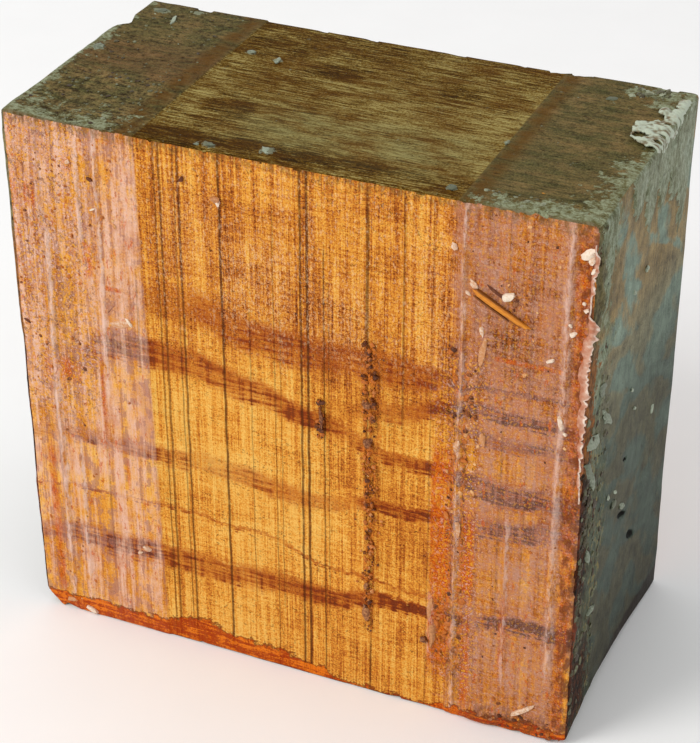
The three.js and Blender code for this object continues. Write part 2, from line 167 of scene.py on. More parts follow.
WEATHERED_PATCHES = (
    ("right", (-37.5, -20), (6, 112), 160, (0.5, 2.4), (0.15, 0.6), (0.0, 0.6)),
    ("right", (-37.5, -33), (3, 95), 70, (0.6, 2.4), (0.2, 0.8), (0.0, 0.35)),
    ("top", (46, 75), (-37.5, -30), 70, (0.5, 2.0), (0.15, 0.5), (0.2, 0.8)),
    ("top", (61, 71), (30, 37), 60, (0.5, 2.0), (0.2, 0.7), (0.1, 0.85)),
    ("top", (-75, -45), (-37, -6), 90, (0.4, 1.4), (0.15, 0.4), (0.0, 0.7)),
    ("top", (-75, -45), (-6, 37), 50, (0.4, 1.2), (0.15, 0.4), (0.0, 0.8)),
    ("left", (-34, 34), (10, 136), 70, (0.8, 3.2), (0.2, 0.6), (0.1, 0.9)),
)

# Chips of wax and dirt that lie on a face, and two dark slivers over the splinter that are painted shadow:
# face, across, up, length, width, slope, rise, tone
FRESH_CHIPS = (
    ("front", 42.0, 138, 2.2, 1.5, -50, 0.5, 0.72),
    ("front", 55.4, 127.8, 3.4, 1.9, 35, 1.0, 0.95),
    # Painted shadow: a dark sliver above the splinter
    ("front", 57.4, 126.8, 2.6, 1.2, 60, 0.3, 0.15),
    ("front", 73.9, 143.0, 3.8, 2.3, 35, 0.9, 0.92),
    ("front", 74.8, 141.6, 2.4, 1.4, 80, 0.8, 0.8),
    ("front", 75.4, 139.0, 2.2, 0.9, 65, 0.7, 1.0),
    ("front", 74.2, 128.5, 1.6, 1.0, 30, 0.5, 0.85),
    ("front", 73.6, 130.2, 0.9, 0.8, 0, 0.5, 0.9),
    ("front", 71.4, 121.6, 1.8, 1.3, 40, 0.5, 0.9),
    ("front", 70.6, 123.8, 1.2, 0.8, -60, 0.4, 0.85),
    ("front", 69.8, 97, 4.4, 1.5, -72, 0.9, 0.85),
    ("front", 71.0, 94.4, 1.4, 0.8, -40, 0.5, 0.85),
    ("front", -46.4, 96.8, 6.6, 2.2, 12, 0.3, 0.62),
    ("front", -44.6, 98.0, 3.0, 0.8, -52, 0.5, 0.85),
    ("front", -50.3, 99.6, 6.4, 0.3, 49, 0.12, 0.0),
    ("front", -53.2, 136.2, 1.8, 1.0, -30, 0.3, 0.0),
    ("front", -74.6, 91.6, 2.2, 0.8, -30, 0.3, 0.0),
    ("front", -27.8, 141.3, 1.6, 1.2, 50, 0.3, 0.0),
    ("front", -53.0, 128.0, 1.4, 0.5, 20, 0.4, 0.95),
    ("front", -59.1, 139.8, 1.6, 1.2, 20, 0.4, 0.7),
    ("front", -19, 137.6, 2.6, 1.8, 15, 0.8, 0.35),
    ("front", -18.2, 137.0, 1.0, 1.8, 15, 0.8, 0.85),
    ("front", -45.4, 26, 1.2, 1.0, 40, 0.6, 0.7),
    ("front", -43.2, 28, 2.6, 1.2, -30, 0.7, 0.75),
    ("front", 47.0, 129.4, 2.6, 1.6, -35, 0.5, 0.7),
    ("front", 45.6, 126.8, 2.4, 0.8, -40, 0.4, 0.8),
    # Painted shadow: a dark sliver above the splinter
    ("front", 52.6, 128.4, 5.6, 0.8, -30, 0.15, 0.0),
    ("front", 36.6, 22.4, 2.2, 2.4, 80, 0.9, 0.15),
    ("front", 38.4, 33, 1.6, 7.0, -4, 0.8, 0.5),
    ("front", 38.9, 25, 1.9, 8.0, 3, 0.8, 0.4),
    ("front", 20.4, 90, 2.0, 2.8, 75, 0.9, 0.2),
    ("front", 21, 79, 2.2, 2.4, 30, 1.0, 0.15),
    ("front", 20.6, 35, 2.4, 1.4, 70, 0.8, 0.25),
    ("front", 20.6, 26, 2.2, 4.6, 10, 0.8, 0.25),
    ("front", 8.2, 83, 1.4, 6.4, 4, 0.8, 0.15),
    ("front", 64, 8, 9.0, 1.2, 38, 0.6, 0.75),
    ("front", 66.4, 113.4, 2.2, 0.8, 35, 0.5, 0.9),
    ("front", 49.8, 111.6, 2.0, 8.0, -4, 0.4, 0.55),
    ("front", 49.4, 117.4, 1.2, 3.0, 6, 0.4, 0.75),
    ("front", -68, 3.4, 3.6, 1.2, 10, 0.6, 0.55),
    ("front", -62, 1.6, 4.0, 1.4, -25, 0.7, 0.85),
    ("front", 50.6, 88, 1.6, 3.2, 10, 0.5, 0.5),
    ("front", 45, 60, 1.4, 5.0, 4, 0.7, 0.6),
    ("front", 44.2, 84, 1.6, 4.0, -6, 0.8, 0.65),
)
OLD_CHIPS = (
    ("right", 4.5, 118, 2.6, 1.6, -30, 0.6, 0.95),
    ("right", -5.5, 116.6, 2.0, 1.4, -40, 0.5, 0.85),
    ("right", -0.5, 86, 3.0, 1.0, -35, 0.4, 0.95),
    ("right", 3.5, 78.5, 2.4, 0.9, -25, 0.4, 0.95),
    ("right", 20.5, 68, 2.4, 3.4, 10, 0.5, 0.85),
    ("right", -9.5, 61, 3.2, 1.0, -30, 0.4, 0.9),
    ("right", -15.5, 63, 2.4, 1.4, -40, 0.5, 0.85),
    ("right", -10, 57.6, 5.0, 3.0, -35, 0.7, 0.45),
    ("right", 28.5, 40, 3.4, 0.9, -35, 0.3, 0.95),
    ("right", -1.6, 51.6, 5.4, 1.6, -30, 0.6, 0.7),
    ("right", -22.5, 91, 11.0, 3.0, -42, 0.7, 0.7),
    ("right", -33.5, 90, 9.0, 3.4, -20, 0.8, 0.75),
    ("right", -31.5, 78, 9.0, 2.6, -64, 0.7, 0.7),
    ("right", -35.6, 84, 8.0, 3.0, -50, 0.8, 0.6),
    ("right", -28, 102, 6.0, 3.6, -30, 0.5, 0.6),
    ("right", -31, 55, 6.0, 2.6, -55, 0.7, 0.7),
    ("right", -24, 34, 6.4, 2.0, -15, 0.6, 0.7),
    ("right", 27, 98, 8.0, 3.0, -35, 0.5, 0.65),
    ("right", 36, 60, 5.0, 1.6, -35, 0.6, 0.8),
    ("left", -12, 104, 7.0, 2.8, 30, 0.6, 0.7),
    ("left", 14, 70, 5.0, 2.0, -30, 0.5, 0.8),
    ("left", -26, 42, 8.0, 3.0, 50, 0.7, 0.6),
    ("left", 22, 24, 4.0, 1.6, 20, 0.5, 0.8),
    ("top", -70, 32.5, 3.5, 2.4, 30, 0.35, 0.48),
    ("top", -73.6, 4.5, 2.9, 3.7, 0, 0.40, 0.63),
    ("top", -36, 17.5, 2.7, 1.6, 20, 0.30, 0.68),
    ("top", -27.5, 15.2, 1.3, 3.2, 15, 0.30, 0.73),
    ("top", -8, -32.6, 3.2, 2.1, -30, 0.35, 0.78),
    ("top", -23, -35.4, 5.1, 2.1, 12, 0.25, 0.58),
    ("top", 39, -33.4, 2.4, 2.1, 60, 0.25, 0.48),
    ("top", 42.6, -6.4, 1.0, 2.4, 0, 0.30, 0.68),
    ("top", 58, 27, 2.9, 2.1, 30, 0.30, 0.43),
    ("top", -64, 27.5, 1.2, 5.0, 12, 0.4, 0.9),
)
CHIP_ROUGH = 0.45

# Torn wax along the right edge of the front: height, how far it stands past the corner
TORN_EDGE = (
    (76.0, -2.6), (78.0, -0.9), (82.0, -0.5), (86.0, -0.9), (90.0, -0.4), (94.0, -0.7), (99.0, -0.3),
    (103.0, -0.5), (105.4, -0.2), (106.4, 0.9), (107.4, -0.2), (111.0, -0.4), (115.0, 0.0), (118.0, 0.2),
    (119.8, 0.4), (121.0, 0.6), (122.0, 1.7), (122.8, 0.8), (124.2, 2.4), (125.6, 1.0), (127.0, -0.4),
    (129.0, -1.4), (131.4, -1.2), (133.4, 0.1), (134.6, -0.7), (137.4, -0.6), (139.2, 0.9), (140.6, 0.2),
    (143.0, 0.5), (145.6, -2.0),
)
TORN_WIDTH = ((76, 0.3), (84, 1.0), (95, 1.7), (112, 1.9), (122, 1.4), (128, 0.5), (134, 0.7), (146, 0.4))
TORN_SAW = 0.85
TORN_STEP = 0.22
TORN_THICK = 0.35
TORN_RISE = 0.35

# The curdled wax over the top edge of the right end: y, how far in over the top, how far down the end
CLOT_REACH = (
    (3.2, 1.2, 0.8),
    (4.6, 4.6, 1.4),
    (6.6, 7.0, 1.8),
    (9.0, 7.8, 3.6),
    (11.6, 8.0, 2.2),
    (14.2, 8.8, 1.6),
    (15.8, 8.2, 2.0),
    (17.0, 4.6, 3.6),
    (18.6, 3.0, 2.6),
    (22.5, 2.3, 1.6),
    (26.5, 2.0, 1.8),
    (31.0, 2.2, 1.6),
    (32.8, 0.8, 1.0),
)
CLOT_STEP = 0.28
CLOT_THICK = 0.6
CLOT_LACE = (1.4, 1.9)  # how few and how steep the small holes in it are
CLOT_HOLE = (-5.6, 9.0, 1.3)  # across the edge, y, radius
CLOT_BLOB = (-3.4, 23.5, 1.7, 2.3, 1.25)  # across the edge, y, half widths, rise

# The splinter: x, z, length, width, thickness, slope, lift
SPLINTER = (53.6, 124.4, 17.0, 1.9, 0.9, -27.0, 2.0)

STAGE_LIGHT = 1.15  # how much brighter than its paint the front looks on the stage
SEED = 23


def paint_of(red, green, blue):
    """The paint that looks like a screen colour, 0 to 255, in the light of the stage."""
    shares = (c / 255 for c in (red, green, blue))
    linear = (s / 12.92 if s <= 0.04045 else ((s + 0.055) / 1.055) ** 2.4 for s in shares)
    return tuple(value / STAGE_LIGHT for value in linear) + (1.0,)


def length_prop(name, description, default):
    return FloatProperty(name=name, description=description, default=default, min=0, unit="LENGTH")


def colour_prop(name, description, *shade):
    return FloatVectorProperty(
        name=name, description=description, default=paint_of(*shade), size=4, min=0, max=1, subtype="COLOR"
    )


class BlankSizes(bpy.types.PropertyGroup):
    """Sizes of the block's finish."""

    film: length_prop("Film", "Thickness of the wax on the dipped ends", 0.0004)
    edge_radius: length_prop("Edge radius", "Mean radius of the worn edges", 0.0007)
    chip: length_prop("Chips", "Depth of the chips along the edges", 0.0005)
    crumbs: IntProperty(
        name="Crumbs", description="Share of the wax crumbs", default=100, min=0, subtype="PERCENTAGE"
    )


class BlankColours(bpy.types.PropertyGroup):
    """Colours of the wood and of its wax."""

    bark: colour_prop("Bark tone", "The darkest grain of the fresh face", 66, 28, 8)
    russet: colour_prop("Russet tone", "The deep grain of the fresh face", 136, 64, 14)
    rust: colour_prop("Rust tone", "The middle grain of the fresh face", 196, 110, 34)
    amber: colour_prop("Amber tone", "The bright grain of the fresh face", 238, 160, 56)
    straw: colour_prop("Straw tone", "The palest grain of the fresh face", 252, 196, 98)
    figure: colour_prop("Figure", "What the dark streaks leave of the light", 201, 120, 48)
    ebony: colour_prop("Ebony", "The heart of the dark streaks", 84, 42, 24)
    saw: colour_prop("Saw lines", "The lines left by the saw", 84, 38, 8)
    rim: colour_prop("Wet rim", "The red lower rim of the fresh face", 172, 52, 0)
    left_wax: colour_prop("Left wax", "The milky film at the left", 240, 190, 162)
    right_wax: colour_prop("Right wax", "The film at the right", 196, 140, 114)
    ridge_wax: colour_prop("Wax ridges", "The pale ridges of wax", 242, 206, 190)
    ochre: colour_prop("Ochre crust", "Grains of sawdust in the wax", 240, 168, 50)
    peat: colour_prop("Peat tone", "The darkest streaks of the top", 46, 28, 0)
    umber: colour_prop("Umber tone", "The dark streaks of the top", 94, 64, 6)
    olive: colour_prop("Olive tone", "The middle of the top", 130, 102, 42)
    sand: colour_prop("Sand tone", "The palest streaks of the top", 176, 160, 98)
    dusk: colour_prop("Dusk wax", "The brown wax of the top", 108, 88, 54)
    moss: colour_prop("Moss wax", "The green wax of the top", 86, 84, 48)
    sage_top: colour_prop("Pale green wax", "The crusts of wax on the top", 156, 164, 134)
    sage: colour_prop("Sage wax", "The weathered wax of the ends", 136, 144, 114)
    lichen: colour_prop("Lichen wax", "Its dark tone", 100, 104, 72)
    frost: colour_prop("Frost wax", "Its pale tone", 172, 182, 158)
    teal: colour_prop("Teal wax", "The cold patches of the ends", 122, 138, 122)
    clay: colour_prop("Clay wood", "The brown patches of the ends", 148, 127, 86)
    curd: colour_prop("Curdled wax", "The lump over the corner", 186, 196, 174)


def step(values, low, high):
    """0 below low, 1 above high and a smooth rise between them."""
    share = np.clip((values - low) / (high - low), 0, 1)
    return share * share * (3 - 2 * share)


def cloud(places, size, seed=0):
    """Smooth unevenness from -1 to 1 at each place, in lumps of one size."""
    scaled = places / size + 3.7 * seed + 50
    cell = np.floor(scaled).astype(np.int64)
    share = scaled - cell
    share = share * share * (3 - 2 * share)
    total = np.zeros(len(places))
    for corner in itertools.product((0, 1), repeat=3):
        mixed = (cell + corner) @ np.array([73856093, 19349663, 83492791]) + seed * 9176
        mixed = ((mixed ^ (mixed >> 13)) * 1274126177) & 0xFFFFFFFF
        mixed = (mixed ^ (mixed >> 16)) & 0xFFFF
        weight = np.prod(np.where(np.array(corner) == 1, share, 1 - share), axis=1)
        total += weight * (mixed / 32767.5 - 1)
    return total


def only(obj):
    """Selects one object and nothing else."""
    bpy.ops.object.select_all(action="DESELECT")
    obj.select_set(True)
    bpy.context.view_layer.objects.active = obj
    return obj


def places_of(obj):
    flat = np.empty(len(obj.data.vertices) * 3)
    obj.data.vertices.foreach_get("co", flat)
    return flat.reshape(-1, 3)


def set_places(obj, places):
    obj.data.vertices.foreach_set("co", places.ravel())
    obj.data.update()


def edit(obj, operator, **settings):
    """Runs one edit mode operator on what is selected."""
    only(obj)
    bpy.ops.object.mode_set(mode="EDIT")
    operator(**settings)
    bpy.ops.object.mode_set(mode="OBJECT")


def select_all(obj, chosen=True):
    mesh = obj.data
    for group in (mesh.vertices, mesh.edges, mesh.polygons):
        group.foreach_set("select", np.full(len(group), chosen))


def apply_modifier(obj, kind, **settings):
    only(obj)
    modifier = obj.modifiers.new(kind.title(), kind)
    for name, value in settings.items():
        setattr(modifier, name, value)
    bpy.ops.object.modifier_apply(modifier=modifier.name)


def settle(obj, name, slot, *nodes):
    """Puts a finished piece into the frame, in metres, names it and hides the parts it replaces."""
    obj.name = obj.data.name = name
    obj.data.transform(Matrix.Scale(MM, 4) @ Matrix.Translation(MIDDLE))
    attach(obj, "root")
    if nodes:
        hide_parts(*nodes)


def between(table, values):
    """The value of a table of pairs at each place, straight between its rows."""
    firsts, seconds = zip(*table)
    return np.interp(values, firsts, seconds)


def top_lift(x, y):
    """How much higher than the rest the top lies at a place."""
    back = np.clip((y + HALF_DEPTH) / (2 * HALF_DEPTH), 0, 1)
    side = step(-x, HALF_WIDTH - TOP_LIFT_REACH[0], HALF_WIDTH)
    return np.maximum(between(BACK_LIFT, x) * back, LEFT_LIFT * side)


# How a point of each face is reached: across, up and out of the face
FACES = {
    "front": lambda u, v, out: (u, -HALF_DEPTH - out, v),
    "back": lambda u, v, out: (u, HALF_DEPTH + out, v),
    "top": lambda u, v, out: (u, v, HEIGHT + out + top_lift(u, v)),
    "right": lambda u, v, out: (HALF_WIDTH + out, u, v),
    "left": lambda u, v, out: (-HALF_WIDTH - out, u, v),
}


# The block


def bisect(obj, place, normal):
    select_all(obj)
    edit(obj, bpy.ops.mesh.bisect, plane_co=place, plane_no=normal)


def cut_evenly(obj, axis, step_length):
    """Cuts every strip of a box that is longer than a step into even ones."""
    while True:
        ends = np.empty(len(obj.data.edges) * 2, int)
        obj.data.edges.foreach_get("vertices", ends)
        spans = places_of(obj)[ends.reshape(-1, 2)]
        lengths = np.abs(spans[:, 0, axis] - spans[:, 1, axis])
        longest = lengths.max()
        if longest <= step_length * 1.01:
            return
        cuts = min(MOST_CUTS, math.ceil(longest / step_length) - 1)
        select_all(obj, False)
        obj.data.edges.foreach_set("select", lengths > longest - 1e-3)
        edit(obj, bpy.ops.mesh.subdivide, number_cuts=cuts)


def cut_block():
    """A box cut along its film's edges, closely at its own edges and evenly between them."""
    bpy.ops.mesh.primitive_cube_add(size=1, location=(0, 0, 0))
    block = only(bpy.context.object)
    size = (2 * HALF_WIDTH, 2 * HALF_DEPTH, HEIGHT)
    select_all(block)
    edit(block, bpy.ops.transform.resize, value=size)
    select_all(block)
    edit(block, bpy.ops.transform.translate, value=(0, 0, HEIGHT / 2))
    for axis, (low, high) in enumerate(((-HALF_WIDTH, HALF_WIDTH), (-HALF_DEPTH, HALF_DEPTH), (0, HEIGHT))):
        normal = Vector([float(axis == i) for i in range(3)])
        for inset in EDGE_INSETS:
            bisect(block, normal * (low + inset), normal)
            bisect(block, normal * (high - inset), normal)
    edit(block, bpy.ops.mesh.select_mode, type="EDGE")
    for axis in (1, 2, 0):
        cut_evenly(block, axis, STEP[axis])
    return block


def ridge_height(places, lines, seed):
    """Height of the beads of wax that run down a face."""
    x, _, z = places.T
    height = np.zeros(len(places))
    wander = cloud(places * (0, 0, 1) + (0, 0, 0), 24, seed) * RIDGE_WANDER
    for number, (middle, low, high, wide, rise) in enumerate(lines):
        along = places * (0, 0, 1) + (number * 31, 0, 0)
        swell = 0.8 + 0.5 * cloud(along, 5, seed) + 0.35 * cloud(places, 1.5, seed)
        ends = step(z, low - 1, low + 9) * (1 - step(z, high - 9, high + 1))
        share = np.abs(x - middle - wander * (1 + 0.4 * number % 2)) / (wide / 2)
        height = np.maximum(height, rise * swell * ends * np.clip(1 - share**2, 0, 1) ** 0.7)
    return height


def curtain_share(y, z):
    """How far inside the sheets of wax on the right end a place lies, 0 outside them."""
    share = np.zeros(len(y))
    for middle, low, wide in CURTAIN:
        away = ((y - middle) / (wide / 2)) ** 2 + ((z - HEIGHT) / (HEIGHT - low)) ** 2
        share = np.maximum(share, 1 - away)
    return np.clip(share, 0, 1)


def relief_height(places, facing):
    """Height of all that stands on or is sunk into the block's faces, out of each face."""
    x, y, z = places.T
    front, back, top, right, left = (
        np.clip(side, 0, 1) ** 2
        for side in (-facing[:, 1], facing[:, 1], facing[:, 2], facing[:, 0], -facing[:, 0])
    )
    height = front * ridge_height(places, FRONT_RIDGES, 1) + back * ridge_height(places, BACK_RIDGES, 2)

    crust = front * step(z, 55, 75) * step(-x, 54, 60) + 0.6 * (front + back) * step(np.abs(x), 44, 50)
    height += 0.13 * crust * cloud(places, 1.3, 5) + 0.1 * crust * cloud(places, 2.6, 6)
    patch = front * step(x, 36, 38.5) * (1 - step(x, 46, 49)) * step(z, 14, 18) * (1 - step(z, 36, 40))
    height += patch * (0.35 + 0.35 * cloud(places, 2.4, 7))

    height += right * CURTAIN_RISE * np.minimum(1, 5 * curtain_share(y, z)) * (1 + 0.3 * cloud(places, 5, 8))
    strip = right * (1 - step(y, -20, -15)) + left * 0.6
    height += 0.28 * strip * cloud(places, 3.2, 9) + 0.14 * (right + left) * cloud(places, 6, 10)

    green = top * step(x, 44, 50) * (1 - step(y, -32, -28)) + top * step(x, 64, 70) * (1 - step(y, -8, -4))
    height += green * 0.22 * (1 + cloud(places, 2.6, 11))
    ragged = 0.8 * cloud(places, 1.3, 12) + 0.5 * cloud(places, 0.6, 13)
    for at_x, at_y, wide in TOP_BLOBS:
        away = ((x - at_x) / (wide / 2)) ** 2 + ((y - at_y) / (wide * 0.36)) ** 2 + ragged
        height = np.maximum(height, top * BLOB_RISE * np.clip(1 - away, 0, 1) ** 0.6)

    at_x, at_z, wide, high, rise = FOOT_RUN
    away = ((x - at_x) / (wide / 2)) ** 2 + ((z - at_z) / (high / 2)) ** 2
    height = np.maximum(height, front * rise * np.clip(1 - away, 0, 1) ** 0.5)

    for at_y, at_z, long, wide, slope in SLITS:
        turn = math.radians(slope)
        along = (y - at_y) * math.cos(turn) + (z - at_z) * math.sin(turn)
        across = (z - at_z) * math.cos(turn) - (y - at_y) * math.sin(turn)
        away = (along / (long / 2)) ** 2 + (across / (wide / 2)) ** 2
        height -= right * SLIT_DEPTH * np.clip(1 - away, 0, 1)
    return height


def break_edges(places, draw, chip):
    """Cuts the notch, the scuffed edge, the clipped foot and the chips."""
    x, y, z = places.T
    wall = between(NOTCH, y) - NOTCH_LEAN * (HEIGHT - z)
    x[:] = np.where(y > NOTCH[0][0], np.maximum(x, wall), x)
    rise = between(SCUFF, y) * (x - HALF_WIDTH + SCUFF_REACH) / SCUFF_REACH
    z[:] = np.where(x > HALF_WIDTH - SCUFF_REACH, np.maximum(z, rise), z)

    edges = ((-1, -1, HEIGHT), (-1, 1, HEIGHT), (1, -1, None), (-1, 1, 0), (-1, -1, 0), (-1, 1, None))
    cuts = [(Vector((-HALF_WIDTH, -HALF_DEPTH, 0)), Vector((-1, -0.7, -1)), FOOT_CLIP)]
    for i in range(CHIPS):
        side_x, side_y, level = edges[i % len(edges)]
        along = draw.uniform(-0.94, 0.94)
        if level is None:
            place = Vector((side_x * HALF_WIDTH, side_y * HALF_DEPTH, (along + 1) / 2 * HEIGHT))
            out = Vector((side_x, side_y, draw.uniform(-0.3, 0.3)))
        else:
            place = Vector((along * HALF_WIDTH, side_y * HALF_DEPTH, level))
            out = Vector((draw.uniform(-0.3, 0.3), side_y, 1 if level else -1))
        cuts.append((place, out, chip * draw.uniform(0.6, 1.6)))
    for place, out, depth in cuts:
        out.normalize()
        near = np.linalg.norm(places - np.array(place), axis=1) < 2 * depth + 1.4
        past = (places[near] - np.array(place)) @ np.array(out) + depth
        places[near] -= np.clip(past, 0, None)[:, None] * np.array(out)


def shape_block(block, sizes):
    """Rounds the cut box, lays the film and its relief on it and breaks its edges."""
    film = sizes.film / MM
    flat = places_of(block)
    x, _, z = flat.T
    lean = FILM_LEAN * (1 - z / HEIGHT)
    half = FILM_EDGE / 2
    bare = step(x, FILM_LEFT + lean - half, FILM_LEFT + lean + half)
    bare = bare * (1 - step(x, FILM_RIGHT - half, FILM_RIGHT + half))
    thin = film * bare
    none = np.zeros(len(flat))
    low = np.column_stack([none - HALF_WIDTH, thin - HALF_DEPTH, none])
    high = np.column_stack([none + HALF_WIDTH, HALF_DEPTH - thin, HEIGHT - thin / 2])
    flat = np.clip(flat, low, high)

    corner = np.linalg.norm(flat - (-HALF_WIDTH, -HALF_DEPTH, HEIGHT), axis=1)
    soft = 1 - step(corner, 0, SOFT_CORNER_REACH)
    radius = sizes.edge_radius / MM + RADIUS_VARIES * (0.7 * cloud(flat, 9) + 0.5 * cloud(flat, 3, 1))
    radius = (np.maximum(radius, 0.25) * (1 - soft) + SOFT_CORNER_RADIUS * soft)[:, None]
    core = np.clip(flat, low + radius, high - radius)
    out = flat - core
    reach = np.linalg.norm(out, axis=1, keepdims=True)
    facing = out / reach
    places = core + facing * np.minimum(reach, radius)

    waxed = 1 - bare
    ripple = FILM_RIPPLE * waxed * cloud(flat, 15, 2) * (1 - np.clip(-facing[:, 2], 0, 1))
    height = ripple + relief_height(places, facing)
    height = np.where(facing[:, 2] < -0.5, 0, height)
    places += facing * height[:, None]
    ends = END_RIPPLE * cloud(flat, 22, 3)
    bulge = between(LEFT_BULGE, z)
    flare = RIGHT_FLARE * step(flat[:, 1], HALF_DEPTH - RIGHT_FLARE_REACH, HALF_DEPTH)
    rightwards, leftwards = (np.clip(side * facing[:, 0], 0, 1) for side in (1, -1))
    places[:, 0] += rightwards * (ends + flare) - leftwards * (ends + bulge)
    upper = step(flat[:, 2], HEIGHT - TOP_LIFT_REACH[1], HEIGHT - 0.5)
    places[:, 2] += top_lift(flat[:, 0], flat[:, 1]) * upper
    break_edges(places, random.Random(SEED), sizes.chip / MM)

    lowest, highest = (np.array(corner) / MM - np.array(MIDDLE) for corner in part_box("wood_block"))
    set_places(block, np.clip(places, lowest + BOX_GAP, highest - BOX_GAP))


def face_numbers(obj, wobble):
    """Which face of the block each polygon belongs to, in the order of its materials."""
    centres = np.empty(len(obj.data.polygons) * 3)
    obj.data.polygons.foreach_get("center", centres)
    centres = centres.reshape(-1, 3)
    x, y, z = centres.T
    rough = wobble * cloud(centres, 1.7, 4) + wobble * cloud(centres, 5, 5)
    sides = np.stack(
        [
            -y - HALF_DEPTH,
            y - HALF_DEPTH,
            z - HEIGHT + rough,
            -z,
            x - HALF_WIDTH + rough,
            -x - HALF_WIDTH + rough,
        ]
    )
    return np.argmax(sides, axis=0)


class TURNING_BLANK_OT_block(bpy.types.Operator):
    """Adds the block of wood under its film of wax"""

    bl_idname = "turning_blank.block"
    bl_label = "Wood block"
    bl_options = {"REGISTER", "UNDO"}

    def execute(self, context):
        block = cut_block()
        shape_block(block, context.scene.blank_sizes)
        select_all(block)
        edit(block, bpy.ops.mesh.remove_doubles, threshold=0.02)
        triangles = sum(len(p.vertices) - 2 for p in block.data.polygons)
        apply_modifier(block, "DECIMATE", ratio=min(1.0, BLOCK_TRIANGLES / triangles))
        colours = context.scene.blank_colours
        for material in (
            fresh_face("fresh_front", colours, FRONT_LOOK),
            fresh_face("fresh_back", colours, BACK_LOOK),
            weathered_face("weathered_top", colours, 0),
            weathered_face("weathered_base", colours, 40),
            dipped_end("right_end", colours, 0),
            dipped_end("left_end", colours, 60),
        ):
            block.data.materials.append(material)
        block.data.polygons.foreach_set("material_index", face_numbers(block, 0.22))
        only(block)
        bpy.ops.object.shade_smooth_by_angle(angle=math.radians(50))
        settle(block, "waxed_block", "wood", "wood_block")
        return {"FINISHED"}


# Crumbs and flakes


def lump(draw, first, wide, deep, long):
    """A copy of the first lump, broken in its own way: long in its own y, standing on its own z."""
    obj = first.copy()
    obj.data = first.data.copy()
    bpy.context.scene.collection.objects.link(obj)
    places = places_of(obj)
    places *= 1 + 0.35 * cloud(places * 4, 1, draw.randrange(900))[:, None]
    turn = np.array(Euler([draw.uniform(0, math.tau) for _ in range(3)]).to_matrix())
    places = (places @ turn) * (wide, long, 2 * deep)
    spin = draw.uniform(0, math.tau)
    cosine, sine = math.cos(spin), math.sin(spin)
    x, y, z = places.T
    set_places(obj, np.column_stack([x * cosine - y * sine, x * sine + y * cosine, z]))
    return obj


def scatter(patches, seed, share):
    """Meshes of crumbs over patches of the block's faces, each with a tone."""
    draw = random.Random(seed)
    bpy.ops.mesh.primitive_ico_sphere_add(subdivisions=1, radius=0.5, location=(0, 0, 0))
    first = bpy.context.object
    for face, across, up, count, wide, rise, tone in patches:
        for _ in range(round(count * share)):
            share_of = draw.random() ** 2.2
            size, high = (least + (most - least) * share_of for least, most in (wide, rise))
            crumb = lump(draw, first, size, high, size * draw.uniform(0.7, 1.7))
            u, v = draw.uniform(*across), draw.uniform(*up)
            places = np.array([FACES[face](u + p[0], v + p[1], p[2]) for p in places_of(crumb)])
            set_places(crumb, places)
            toned(crumb, draw.uniform(*tone))
            yield crumb
    bpy.data.objects.remove(first)


def toned(obj, tone):
    """Marks a small piece with how pale it is, for its material."""
    values = obj.data.attributes.new("tone", "FLOAT", "POINT")
    values.data.foreach_set("value", np.full(len(obj.data.vertices), tone))


def join(pieces):
    bpy.ops.object.select_all(action="DESELECT")
    for piece in pieces:
        piece.select_set(True)
    bpy.context.view_layer.objects.active = pieces[0]
    bpy.ops.object.join()
    whole = bpy.context.object
    select_all(whole)
    edit(whole, bpy.ops.mesh.normals_make_consistent, inside=False)
    only(whole)
    bpy.ops.object.shade_smooth_by_angle(angle=math.radians(40))
    return whole


class TURNING_BLANK_OT_crumbs(bpy.types.Operator):
    """Scatters crumbs of wax and sawdust over the dipped ends"""

    bl_idname = "turning_blank.crumbs"
    bl_label = "Wax crumbs"
    bl_options = {"REGISTER", "UNDO"}

    def execute(self, context):
        share = context.scene.blank_sizes.crumbs / 100
        colours = context.scene.blank_colours
        fresh = join(list(scatter(CRUMB_PATCHES, SEED + 1, share)))
        paint = crumb_paint("sawdust_crumbs", (78, 36, 14), (196, 108, 34), (238, 190, 132))
        fresh.data.materials.append(paint)
        settle(fresh, "sawdust_crumbs", "wax")
        weathered = join(list(scatter(WEATHERED_PATCHES, SEED + 2, share)))
        paint = crumb_paint("wax_crumbs", (62, 44, 26), (104, 104, 74), (168, 174, 148))
        weathered.data.materials.append(paint)
        settle(weathered, "wax_crumbs", "wax")
        return {"FINISHED"}


def chips(table, seed):
    """Broken chips that lie on the block's faces."""
    draw = random.Random(seed)
    bpy.ops.mesh.primitive_ico_sphere_add(subdivisions=2, radius=0.5, location=(0, 0, 0))
    first = bpy.context.object
    for face, across, up, long, wide, slope, rise, tone in table:
        chip = first.copy()
        chip.data = first.data.copy()
        bpy.context.scene.collection.objects.link(chip)
        ball = places_of(chip)
        number = draw.randrange(900)
        rough = CHIP_ROUGH * cloud(ball * 3, 1, number) + 0.3 * CHIP_ROUGH * cloud(ball * 7, 1, number)
        ball = ball * (1 + rough[:, None]) * (long, wide, 1)
        tip = 0.5 * (ball[:, 0] / long) * draw.uniform(-1, 1)
        ball[:, 2] = np.clip(ball[:, 2] + tip, -0.2, 0.38) * 2.4 * rise
        turn = math.radians(slope)
        x, y, z = ball.T
        u = across + x * math.cos(turn) - y * math.sin(turn)
        v = up + x * math.sin(turn) + y * math.cos(turn)
        set_places(chip, np.array([FACES[face](*place) for place in zip(u, v, z + 0.1)]))
        toned(chip, tone)
        yield chip
    bpy.data.objects.remove(first)


